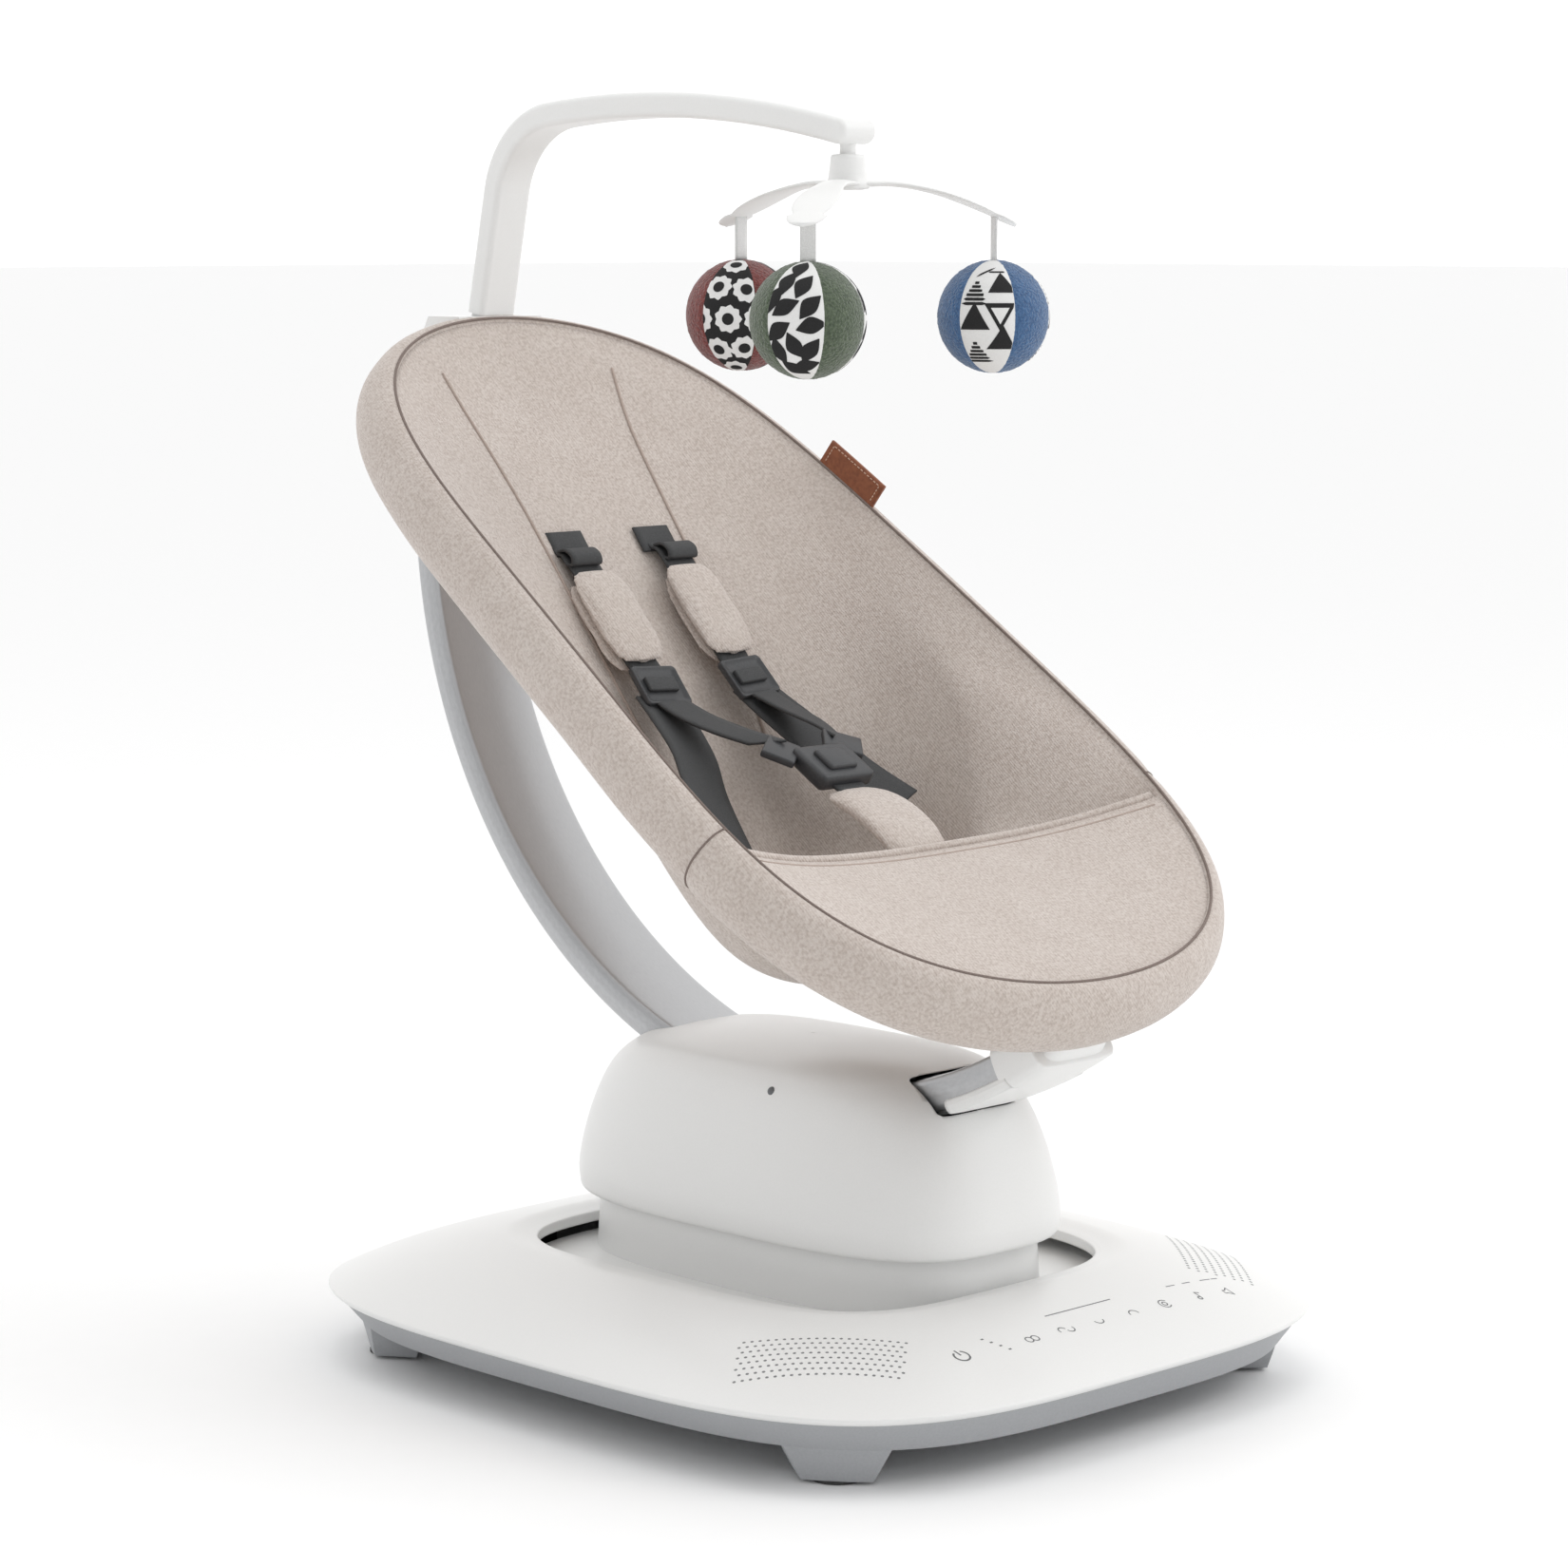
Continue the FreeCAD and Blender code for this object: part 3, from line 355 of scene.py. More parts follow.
def stroke(bm, points, width, lift=0.00006):  # a flat line on the base's top
    for (x0, y0), (x1, y1) in zip(points, points[1:]):
        length = math.hypot(x1 - x0, y1 - y0)
        if length < 1e-6:
            continue
        dx, dy = (x1 - x0) / length, (y1 - y0) / length
        for vert in bmesh.ops.create_grid(bm, x_segments=1, y_segments=1, size=0.5)["verts"]:
            along = (vert.co.x + 0.5) * (length + width * 0.6) - width * 0.3
            aside = vert.co.y * width
            here, right, forward, up = surfaceFrame(x0 + dx * along - dy * aside, y0 + dy * along + dx * aside)
            vert.co = here + up * lift


marks = {"y": -233, "size": 4.2, "lineY": -216}
markY = marks["y"]
marks["strokes"] = [
    (arcPoints(-109, markY + 4, marks["size"] * 1.15, 125, 415, 20), 1.2),
    ([(-109, markY + 5), (-109, markY + 10)], 1.2),
    *[([(-84 + i * 2.6, markY + 12 - i * 5), (-82.6 + i * 2.6, markY + 12 - i * 5)], 1.3) for i in range(4)],
    (arcPoints(-55.5, markY, 2.6, 0, 360), 0.8),
    (arcPoints(-50.5, markY, 2.6, 0, 360), 0.8),
    (arcPoints(-26, markY, 3, 20, 200), 0.8),
    (arcPoints(-20, markY, 3, 200, 380), 0.8),
    (arcPoints(6, markY + 1, 3.6, 190, 350), 0.8),
    (arcPoints(36, markY - 2, 3.6, 0, 180), 0.8),
    (arcPoints(66, markY, 4, 40, 320), 0.8),
    (arcPoints(66, markY, 1.8, 0, 360, 8), 0.8),
    (arcPoints(97, markY - 2, 1.5, 0, 360, 8), 0.9),
    ([(98.4, markY - 2), (98.4, markY + 4.5), (101.5, markY + 3.2)], 0.9),
    ([(122, markY - 1.6), (124.5, markY - 1.6), (127.5, markY - 4), (127.5, markY + 4), (124.5, markY + 1.6),
      (122, markY + 1.6), (122, markY - 1.6)], 0.8),
    ([(-23, marks["lineY"]), (35, marks["lineY"])], 0.9),
    ([(86, marks["lineY"] - 1), (108, marks["lineY"] - 1)], 0.9),
    ([(118, marks["lineY"] - 1), (134, marks["lineY"] - 1)], 0.9),
]
bm = bmesh.new()
for points, width in marks["strokes"]:
    stroke(bm, points, width)
panelMarks = finishMesh("panelMarks", bm, markGrey, "base", smooth=False, recalc=False)
print("base done")


# tower

towerLevels = ((85, 161, 97.5), (87, 164, 96), (90, 167.5, 98.5), (91, 169, 106), (91, 169, 114), (89.6, 166.5, 128),
               (86.5, 160.5, 148), (82.5, 152, 167), (78.5, 142.5, 181), (73, 131, 191.5), (64, 116, 199.5),
               (48, 92, 204.6), (24, 50, 207.2), (0.01, 0.01, 207.8))


def towerPoint(u, v):
    level = smoothPoint(towerLevels, v)
    x, y = ovalPoint(u * tau, max(level.x, 0.01), max(level.y, 0.01), 3.2)
    return at(x, y, level.z)


bowShape = {"y": -17.2, "z": 527.3, "radius": 354.7, "width": 65.0, "thick": 21.0, "from": -33.0, "to": 101.0}


def onBow(x, radius, degrees):  # 0 degrees hangs straight down, + to the rear
    angle = math.radians(degrees)
    return at(x, bowShape["y"] + radius * math.sin(angle), bowShape["z"] - radius * math.cos(angle))


def bowBand(profile, start, end, steps):
    def point(u, v):
        x, radius = smoothPoint(profile, u, True).xy
        return onBow(x, radius, start + (end - start) * v)
    return wrapGrid(len(profile) * 6, steps, point, cap=True)


def cutterBand(halfWidth, inner, outer, start, end):
    r = 9
    corners = [(-halfWidth + r, inner, 0), (0, inner, 0), (halfWidth - r, inner, 0), (halfWidth - 1, inner + 2, 0),
               (halfWidth, inner + r, 0), (halfWidth, outer - r, 0), (halfWidth - 1, outer - 2, 0),
               (halfWidth - r, outer, 0), (0, outer, 0), (-halfWidth + r, outer, 0), (-halfWidth + 1, outer - 2, 0),
               (-halfWidth, outer - r, 0), (-halfWidth, inner + r, 0), (-halfWidth + 1, inner + 2, 0)]
    return bowBand(corners, start, end, 60)


bm = wrapGrid(192, 110, towerPoint)
towerShell = finishMesh("towerShell", bm, whiteShell, "tower", ("tower_shell",))
addModifier(towerShell, "SOLIDIFY", thickness=0.003, offset=-1)
cutterMesh = bpy.data.meshes.new("slotCutter")
bm = cutterBand(35, 341.5, 369.5, -50, 50)
bmesh.ops.recalc_face_normals(bm, faces=bm.faces)
bm.to_mesh(cutterMesh)
bm.free()
slotCutter = bpy.data.objects.new("slotCutter", cutterMesh)
scene.collection.objects.link(slotCutter)
addModifier(towerShell, "BOOLEAN", operation="DIFFERENCE", object=slotCutter, solver="EXACT")
applyModifiers(towerShell)
bpy.data.objects.remove(slotCutter)
for polygon in towerShell.data.polygons:
    polygon.use_smooth = True
towerDots = {"spots": ((-74, -38, 3.2), (-12, -70, 1.6)), "sink": 0.8}


def towerHalf(z):
    if z <= 106.1:
        return 91, 169
    low, high = next((a, b) for a, b in zip(towerLevels[3:], towerLevels[4:]) if a[2] <= z <= b[2] + 0.01)
    t = (z - low[2]) / (high[2] - low[2])
    return low[0] + (high[0] - low[0]) * t, low[1] + (high[1] - low[1]) * t


def towerTop(x, y):  # the height of the shell over a point
    low, high = 96.0, 208.0
    for _ in range(30):
        z = (low + high) / 2
        halfX, halfY = towerHalf(z)
        if abs(x / halfX) ** 3.2 + abs(y / halfY) ** 3.2 < 1:
            low = z
        else:
            high = z
    return low


bm = bmesh.new()
for x, y, radius in towerDots["spots"]:
    place = Matrix.Translation(at(x, y, towerTop(x, y) - radius * towerDots["sink"]))
    bmesh.ops.create_uvsphere(bm, u_segments=16, v_segments=8, radius=radius / 1000, matrix=place)
towerMarks = finishMesh("towerMarks", bm, markGrey, "tower")
print("tower done")


# bow

halfThick, halfWide, bowRadius = bowShape["thick"] / 2, bowShape["width"] / 2, bowShape["radius"]
bowInner, bowOuter = bowRadius - halfThick, bowRadius + halfThick
bowProfile = [(-halfWide + 7, bowInner, 0), (0, bowInner - 1.2, 0), (halfWide - 7, bowInner, 0),
              (halfWide - 1.5, bowInner + 2, 0), (halfWide, bowRadius - 2, 0), (halfWide, bowRadius + 2, 0),
              (halfWide - 1.5, bowOuter - 2, 0), (halfWide - 7, bowOuter, 0), (0, bowOuter, 0),
              (-halfWide + 7, bowOuter, 0), (-halfWide + 1.5, bowOuter - 2, 0), (-halfWide, bowRadius + 2, 0),
              (-halfWide, bowRadius - 2, 0), (-halfWide + 1.5, bowInner + 2, 0)]
bm = bowBand(bowProfile, bowShape["from"], bowShape["to"], 150)
bow = finishMesh("bow", bm, satinBow, "seat", ("bow",))
stripProfile = [(-22, bowOuter - 0.4, 0), (0, bowOuter - 0.4, 0), (22, bowOuter - 0.4, 0), (22, bowOuter + 1.8, 0),
                (20, bowOuter + 2.5, 0), (0, bowOuter + 2.7, 0), (-20, bowOuter + 2.5, 0), (-22, bowOuter + 1.8, 0)]
bm = bowBand(stripProfile, bowShape["from"] + 10, bowShape["to"] - 10, 130)
bowStrip = finishMesh("bowStrip", bm, whiteShell, "seat", ("bow_strip",))
bracketShape = {"half": 34.2, "inner": bowInner - 3.4, "outer": bowOuter + 3.6,
                "from": -33.6, "to": -28.0, "lip": -20.5}
inner, outer, half = bracketShape["inner"], bracketShape["outer"], bracketShape["half"]
sleeveProfile = [(-half + 8, inner, 0), (0, inner - 0.6, 0), (half - 8, inner, 0), (half - 1.5, inner + 3, 0),
                 (half, inner + 9, 0), (half, outer - 9, 0), (half - 1.5, outer - 3, 0), (half - 8, outer, 0),
                 (0, outer + 0.4, 0), (-half + 8, outer, 0), (-half + 1.5, outer - 3, 0), (-half, outer - 9, 0),
                 (-half, inner + 9, 0), (-half + 1.5, inner + 3, 0)]
bm = bowBand(sleeveProfile, bracketShape["from"], bracketShape["to"], 24)
ends = [edge for edge in bm.edges if edge.calc_face_angle(0) > 1.0]
bmesh.ops.bevel(bm, geom=ends, offset=0.0025, offset_type="OFFSET", segments=3, profile=0.5, affect="EDGES",
                clamp_overlap=True, material=-1)
lipInner = bowRadius + 5
lipProfile = [(-half + 6, lipInner, 0), (0, lipInner, 0), (half - 6, lipInner, 0), (half - 1, lipInner + 0.6, 0),
              (half, lipInner + 3, 0), (half, outer - 5, 0), (half - 1.5, outer - 1.5, 0), (half - 6, outer, 0),
              (0, outer + 0.2, 0), (-half + 6, outer, 0), (-half + 1.5, outer - 1.5, 0), (-half, outer - 5, 0),
              (-half, lipInner + 3, 0), (-half + 1, lipInner + 0.6, 0)]
lip = bowBand(lipProfile, bracketShape["to"] - 1, bracketShape["lip"], 24)
mergeInto(bm, lip)


def riserPoint(u, v):  # a neck that leans from the sleeve up into the ring
    low, high = onBow(0, bowRadius + 1, -31), at(0, -234, 254)
    middle = low.lerp(high, v)
    x, depth = ovalPoint(u * tau, 32 - 12 * math.sin(v * 1.57), 17 - 7.5 * v, 4.0)
    return middle + Vector((x / 1000, depth / 1000 * 0.9, depth / 1000 * 0.35))


riser = wrapGrid(64, 20, riserPoint, cap=True)
mergeInto(bm, riser)
footBracket = finishMesh("footBracket", bm, whiteShell, "seat", ("foot_bracket",))
print("bow done")


# seat ring cover

def flankAmount(angle):  # 1 along the upper flanks, where the ring dips and narrows a little
    away = abs((math.degrees(angle) + 180) % 360 - 180)
    return math.exp(-((away - 52) / 32) ** 2)


def ringHalfWidth(c):
    return seatPlane["halfWidth"] * (1 - 0.098 * c + 0.55 * c * c) - 5.0 * flankAmount(math.acos(c))


def ringPoint(angle, grow):
    c = math.cos(angle)
    return (ringHalfWidth(c) + grow) * math.sin(angle), (seatPlane["halfLength"] + grow) * c


def outwardPoint(angle, out, n):  # out is measured square to the outline
    x0, s0 = ringPoint(angle - 0.01, 0)
    x1, s1 = ringPoint(angle + 0.01, 0)
    dx, ds = x1 - x0, s1 - s0
    length = math.hypot(dx, ds)
    x, s = ringPoint(angle, 0)
    return onSeat(x - ds / length * out, s + dx / length * out, n - 3.5 * flankAmount(angle))


rimSection = [(0, 0, 0), (5, 0.8, 0), (11, -3, 0), (16, -11, 0), (18.5, -21, 0), (16.8, -32, 0), (10, -41, 0),
              (1, -43.5, 0), (-3, -38, 0), (-3.4, -30, 0), (-3.2, -19, 0), (-2.6, -7, 0)]


def rimSwell(angle):  # the cover is thinner round the head, and deeper at the foot
    away = abs((math.degrees(angle) + 180) % 360 - 180)
    head = math.exp(-(away / 38) ** 2)
    foot = math.exp(-((away - 180) / 30) ** 2)
    return 1 - 0.28 * head, 1 - 0.05 * head + 0.12 * foot


def rimPoint(u, v):
    angle = u * tau
    out, n = smoothPoint(rimSection, v, True).xy
    wide, deep = rimSwell(angle)
    soft = 0.7 * noise.noise(Vector((math.cos(angle) * 5, math.sin(angle) * 5, n / 20)))
    pull = 0.0
    for seam in rimSeams:
        pull += 1.6 * math.exp(-(math.degrees(angle - seam) / 1.1) ** 2)
    if out > 4:
        out = out * wide + soft - pull
    return outwardPoint(angle, out, n * deep)


rimSeams = [math.acos(-166 / seatPlane["halfLength"]), tau - math.acos(-166 / seatPlane["halfLength"])]


bm = wrapGrid(320, 48, rimPoint)
rimCover = finishMesh("rimCover", bm, knit, "seat", ("rim_cover",))


def tubeAlong(name, points, radius, material, body, closed=False, sides=8, replaced=()):
    count = len(points)

    def point(u, v):
        k = v * (count if closed else count - 1)
        i = int(k) % count
        here = points[i]
        ahead = points[(i + 1) % count] if closed or i + 1 < count else here + (here - points[i - 1])
        behind = points[i - 1] if closed or i > 0 else here - (points[i + 1] - here)
        along = (ahead - behind).normalized()
        side = along.cross(Vector((0.13, 0.31, 0.94))).normalized()
        up = side.cross(along)
        return here + side * radius * math.cos(u * tau) + up * radius * math.sin(u * tau)
    bm = wrapGrid(sides, count if closed else count - 1, point, cap=not closed)
    return finishMesh(name, bm, material, body, replaced)


piping = [outwardPoint(i / 360 * tau, 0.6, 1.0) for i in range(360)]
rimPiping = tubeAlong("rimPiping", piping, 0.0009, seamThread, "seat", True)
for label, seamAngle in zip(("Right", "Left"), rimSeams):
    points = []
    for i in range(40):
        out, n = smoothPoint(rimSection, i / 39 * 0.56, True).xy
        wide, deep = rimSwell(seamAngle)
        points.append(outwardPoint(seamAngle, out * wide - (1.5 if out > 4 else 0), n * deep))
    tubeAlong("rimSeam" + label, points, 0.0007, seamThread, "seat")
print("rim done")


# sling, the bucket that hangs from the ring

# depth under the ring, head side, foot side, half width
bucketLevels = ((1, 322, -205, 0), (24, 277, -200, 155), (45, 200, -201, 140), (72, 113, -199, 126),
                (100, 33, -194, 111), (124, -27, -184, 93), (146, -71, -166, 67), (157, -97, -142, 35),
                (159, -118, -121, 2))



def bucketOutline(angle, level):
    depth, head, foot, half = level
    c, s = math.cos(angle), math.sin(angle)
    middle, reach = (head + foot) / 2, (head - foot) / 2
    px, ps = ovalPoint(math.pi / 2 - angle, half, reach, 2.25)
    return px, middle + ps


def slingPoint(u, v):
    angle = u * tau
    count = len(bucketLevels) - 1
    place = v * count
    i = min(int(place), count - 1)
    points = []
    for k in (i - 1, i, i + 1, i + 2):
        k = min(max(k, 0), count)
        level = bucketLevels[k]
        here = slingTop(angle) if k == 0 else Vector((*bucketOutline(angle, level), -level[0]))
        if k in (1, 2):
            below = Vector((*bucketOutline(angle, bucketLevels[3]), -bucketLevels[3][0]))
            here = here.lerp(slingTop(angle).lerp(below, k / 3), footAmount(angle))
        points.append(here)
    f = place - i
    a, b, c, d = points
    p = 0.5 * (2 * b + (c - a) * f + (2 * a - 5 * b + 4 * c - d) * f * f + (3 * b - a - 3 * c + d) * f ** 3)
    return onSeat(p.x, p.y, p.z)


def flapSag(s):
    t = min(max((-s - 176) / 150, 0), 1)
    return 31 * (1 - t) ** 1.5


def footAmount(angle):  # 1 where the sling meets the flap instead of the ring
    t = min(max((-math.cos(angle) * seatPlane["halfLength"] - 172) / 16, 0), 1)
    return t * t * (3 - 2 * t)


def slingTop(angle):
    x, s = ringPoint(angle, -0.4)
    top = Vector((x, s, -1 - 3.5 * flankAmount(angle)))
    limit = math.acos(-172 / seatPlane["halfLength"])
    share = min(max((angle - limit) / (tau - 2 * limit), 0), 1)
    half = ringPoint(limit, -0.4)[0]
    across = half * math.cos(share * math.pi)
    side = min(abs(across / half), 1)
    edge = Vector((across, -189 + 9 * (1 - side * side), -5 - flapSag(-178) * (1 - side ** 2.4)))
    return top.lerp(edge, footAmount(angle))


bm = wrapGrid(256, 96, slingPoint)
loose = [vert for vert in bm.verts if not vert.is_boundary]
for _ in range(36):
    bmesh.ops.smooth_vert(bm, verts=loose, factor=0.5, use_axis_x=True, use_axis_y=True, use_axis_z=True)
slingTree = BVHTree.FromBMesh(bm)
sling = finishMesh("sling", bm, knit, "seat", ("seat_sling",))
addModifier(sling, "SOLIDIFY", thickness=0.003, offset=-1)


def slingLevel(x, s):  # the sling's height against the ring's plane
    above, below = onSeat(x, s, 30), onSeat(x, s, -200)
    return 30 - slingTree.ray_cast(above, (below - above).normalized())[3] * 1000


def onSling(x, s, lift=0.0):
    return onSeat(x, s, slingLevel(x, s) + lift)


def flapPoint(u, v):
    side = u * 2 - 1
    edge = -182 + 11 * (1 - side * side)
    s = edge + (-326.5 - edge) * (1 - (1 - v) ** 1.3)
    c = max(min(s / seatPlane["halfLength"], 1), -1)
    half = ringHalfWidth(c) * math.sqrt(max(1 - c * c, 0)) - 0.3
    drop = flapSag(s) * (1 - abs(side) ** 2.4)
    hem = 2.2 * math.exp(-((v * 30) ** 2))
    puff = 1.2 * noise.noise(Vector((side * 2, v * 2, 3)))
    dip = 3.5 * flankAmount(math.acos(c))
    return onSeat(side * half, s, -0.8 - dip - drop - hem + puff * (1 - side * side))


bm = wrapGrid(96, 60, flapPoint)
flap = finishMesh("footFlap", bm, knit, "seat", ("foot_flap",))
addModifier(flap, "SOLIDIFY", thickness=0.004, offset=-1)
hemPoints = [flapPoint(0.01 + 0.98 * i / 90, 0) for i in range(91)]
tubeAlong("flapHem", hemPoints, 0.0026, knit, "seat", sides=12)
# darker line just inside the hem: a real seam, darkened as painted shade of its crease
hemSeamPoints = [flapPoint(0.02 + 0.96 * i / 90, 0.05) for i in range(91)]
tubeAlong("flapHemSeam", hemSeamPoints, 0.0006, seamAndCreaseShade, "seat")
# the back panel's seams, darkened as painted shade of their creases
backSeam = {"path": [(74, 286), (66, 240), (62, 190), (60, 140), (58, 90), (54, 40), (48, 0)], "radius": 0.0010}
for side, label in ((-1, "Left"), (1, "Right")):
    spots = [smoothPoint([(x * side, s, 0) for x, s in backSeam["path"]], i / 80) for i in range(81)]
    tubeAlong("backSeam" + label, [onSling(p.x, p.y, 0.4) for p in spots], backSeam["radius"], seamAndCreaseShade, "seat",
              sides=6)
print("sling done")


# tag

def flatSheet(name, across, along, shape, thickness, material, body, replaced=()):
    bm = wrapGrid(across, along, shape)
    piece = finishMesh(name, bm, material, body, replaced)
    addModifier(piece, "SOLIDIFY", thickness=thickness, offset=0.0)
    return piece


tagShape = {"from": 112, "to": 164, "low": -2, "high": 18.5, "thick": 0.0022}


def tagPoint(u, v):
    angle = math.acos((tagShape["from"] + (tagShape["to"] - tagShape["from"]) * u) / seatPlane["halfLength"])
    n = tagShape["low"] + (tagShape["high"] - tagShape["low"]) * v
    return outwardPoint(angle, 1.5 + 0.14 * n, n)


def tagStitch(u, v):
    return tagPoint(0.07 + 0.86 * u, 0.3 + 0.6 * v)


leatherTag = flatSheet("leatherTag", 24, 10, tagPoint, tagShape["thick"], tagLeather, "seat",
                       ("leather_tag",))
bm = bmesh.new()
border = [tagStitch(i / 14, 1) for i in range(15)] + [tagStitch(1, 1 - i / 5) for i in range(1, 6)]
border = [tagStitch(0, i / 5) for i in range(5)] + border
tagAngle = math.acos(138 / seatPlane["halfLength"])
across = outwardPoint(tagAngle, 1, 0) - outwardPoint(tagAngle, 0, 0)
for start, end in zip(border, border[1:]):
    for face in (-1, 1):
        lift = across.normalized() * 0.00115 * face
        a, b = start.lerp(end, 0.2) + lift, start.lerp(end, 0.8) + lift
        along = (b - a).normalized()
        place = Matrix.Translation((a + b) / 2) @ along.to_track_quat("Z", "Y").to_matrix().to_4x4()
        bmesh.ops.create_cone(bm, cap_ends=True, segments=6, radius1=0.0004, radius2=0.0004, depth=(b - a).length,
                              matrix=place)
tagStitches = finishMesh("tagStitches", bm, tagThread, "seat")

# harness

harness = {
    "wide": 25, "thick": 0.0018, "patchWide": 30, "patchThick": 0.0016, "hipWide": 36, "lapWide": 24,
    "shoulder": [(41, 138, -54), (40, 70, -70), (39, 52, -74), (39, 28, -79)],
    "loop": [(42, 150, -53), (42, 145, -48), (42, 138, -47), (42, 134, -50.5), (42, 138, -54), (42, 144, -53)],
    "hip": [(41, 34, -79), (46, 10, -79), (54, -22, -79), (66, -54, -82)],
    "lap": [(40, 24, -75), (40, 0, -68), (37, -28, -57), (30, -50, -48)],
    "crotch": [(0, -96, -46), (0, -120, -42), (0, -150, -40), (0, -180, -41)],
}


def strap(name, points, width, thickness, acrossStart, acrossEnd, replaced=()):
    first, last = Vector(acrossStart).normalized(), Vector(acrossEnd).normalized()

    def shape(u, v):
        side = first.lerp(last, v).normalized()
        return onSeat(*(smoothPoint(points, v) + side * (u - 0.5) * width))
    return flatSheet(name, 6, 48, shape, thickness, webbing, "seat", replaced)


def onSide(points, side):
    return [(x * side, s, n) for x, s, n in points]


for side, label in ((-1, "Left"), (1, "Right")):
    first = side == -1
    anchored = [(41, 156, slingLevel(41, 156) + 0.5), (41, 150, slingLevel(41, 150) + 3)] + harness["shoulder"]
    strap("shoulderStrap" + label, onSide(anchored, side), harness["wide"], harness["thick"], (1, 0, 0), (1, 0, 0),
          ("shoulder_straps",) if first else ())
    patchPoints = [(38, s, slingLevel(38, s) + 1.6) for s in (167, 161, 155, 149)]
    strap("slotPatch" + label, onSide(patchPoints, side), harness["patchWide"], harness["patchThick"], (1, 0, 0),
          (1, 0, 0))
    strap("strapLoop" + label, onSide(harness["loop"], side), harness["wide"], harness["thick"], (1, 0, 0), (1, 0, 0))
    hipPoints = harness["hip"] + [(82, -110 if first else -84, -84)]
    strap("hipStrap" + label, onSide(hipPoints, side), harness["hipWide"], harness["thick"], (1, 0.1 * side, 0),
          (0.9, 0.3 * side, 0.3 * side), ("hip_straps",) if first else ())
    strap("lapStrap" + label, onSide(harness["lap"], side), harness["lapWide"], harness["thick"],
          (1, 0.25 * side, -0.1 * side), (0.8, 0.5 * side, -0.45 * side), ("lap_straps",) if first else ())


def roundedBlock(name, size, bevel, place, material, body, replaced=(), recess=None):
    bm = bmesh.new()
    bmesh.ops.create_cube(bm, size=1)
    bmesh.ops.scale(bm, vec=Vector(size) / 1000, verts=bm.verts)
    if recess:
        top = max(bm.faces, key=lambda face: face.calc_center_median().z)
        bmesh.ops.inset_region(bm, faces=[top], thickness=recess[0] / 1000, depth=0)
        bmesh.ops.translate(bm, vec=(0, 0, -recess[1] / 1000), verts=top.verts)
    sharp = [edge for edge in bm.edges if edge.calc_face_angle(0) > 0.6]
    bmesh.ops.bevel(bm, geom=sharp, offset=bevel / 1000, offset_type="OFFSET", segments=4, profile=0.5, affect="EDGES",
                    clamp_overlap=True, material=-1)
    bmesh.ops.transform(bm, matrix=place, verts=bm.verts)
    return finishMesh(name, bm, material, body, replaced)


def seatMatrix(x, s, n, pitch=0.0, yaw=0.0):  # pitch tips the piece's far end up off the ring's plane
    turn = Matrix.Rotation(seatPlane["tilt"] + math.radians(pitch), 4, "X") @ Matrix.Rotation(math.radians(yaw), 4, "Z")
    return Matrix.Translation(onSeat(x, s, n)) @ turn


adjuster = {"size": (36, 30, 6.5), "bevel": 2.4, "place": (39, 38, -74), "pitch": 12, "yaw": 4, "recess": (5, 2.6),
            "bar": (24, 11, 3.4), "barBevel": 1.2, "barLift": 1.8}
tongue = {"size": (22, 26, 5), "bevel": 1.5, "place": (27, -60, -47), "pitch": -8, "yaw": 52}
for side, label in ((-1, "Left"), (1, "Right")):
    first = side == -1
    x, s, n = adjuster["place"]
    place = seatMatrix(side * x, s, n, adjuster["pitch"], side * adjuster["yaw"])
    roundedBlock("adjuster" + label, adjuster["size"], adjuster["bevel"], place, darkPlastic, "seat",
                 ("strap_adjusters",) if first else (), adjuster["recess"])
    place = seatMatrix(side * x, s, n + adjuster["barLift"], adjuster["pitch"], side * adjuster["yaw"])
    roundedBlock("adjusterBar" + label, adjuster["bar"], adjuster["barBevel"], place, webbing, "seat")
    x, s, n = tongue["place"]
    place = seatMatrix(side * x, s, n, tongue["pitch"], side * tongue["yaw"])
    roundedBlock("tongue" + label, tongue["size"], tongue["bevel"], place, darkPlastic, "seat",
                 ("buckle_tongues",) if first else ())
buckleShape = {"size": (46, 34, 13), "bevel": 5.5, "place": (0, -80, -45), "pitch": -4, "recess": (6, 1.2),
               "button": (24, 19, 5), "buttonBevel": 2.4, "buttonPlace": (0, -80, -39.2)}
roundedBlock("buckle", buckleShape["size"], buckleShape["bevel"],
             seatMatrix(*buckleShape["place"], buckleShape["pitch"]), darkPlastic, "seat", ("buckle",),
             buckleShape["recess"])
roundedBlock("releaseButton", buckleShape["button"], buckleShape["buttonBevel"],
             seatMatrix(*buckleShape["buttonPlace"], buckleShape["pitch"]), darkPlastic, "release",
             ("buckle_button",))
strap("crotchStrap", harness["crotch"], harness["wide"], harness["thick"], (1, 0, 0), (1, 0, 0), ("crotch_strap",))

puffing = {"voxel": 0.0022, "pressure": 4.0, "frames": 20, "start": 0.97, "cap": 0.0022}


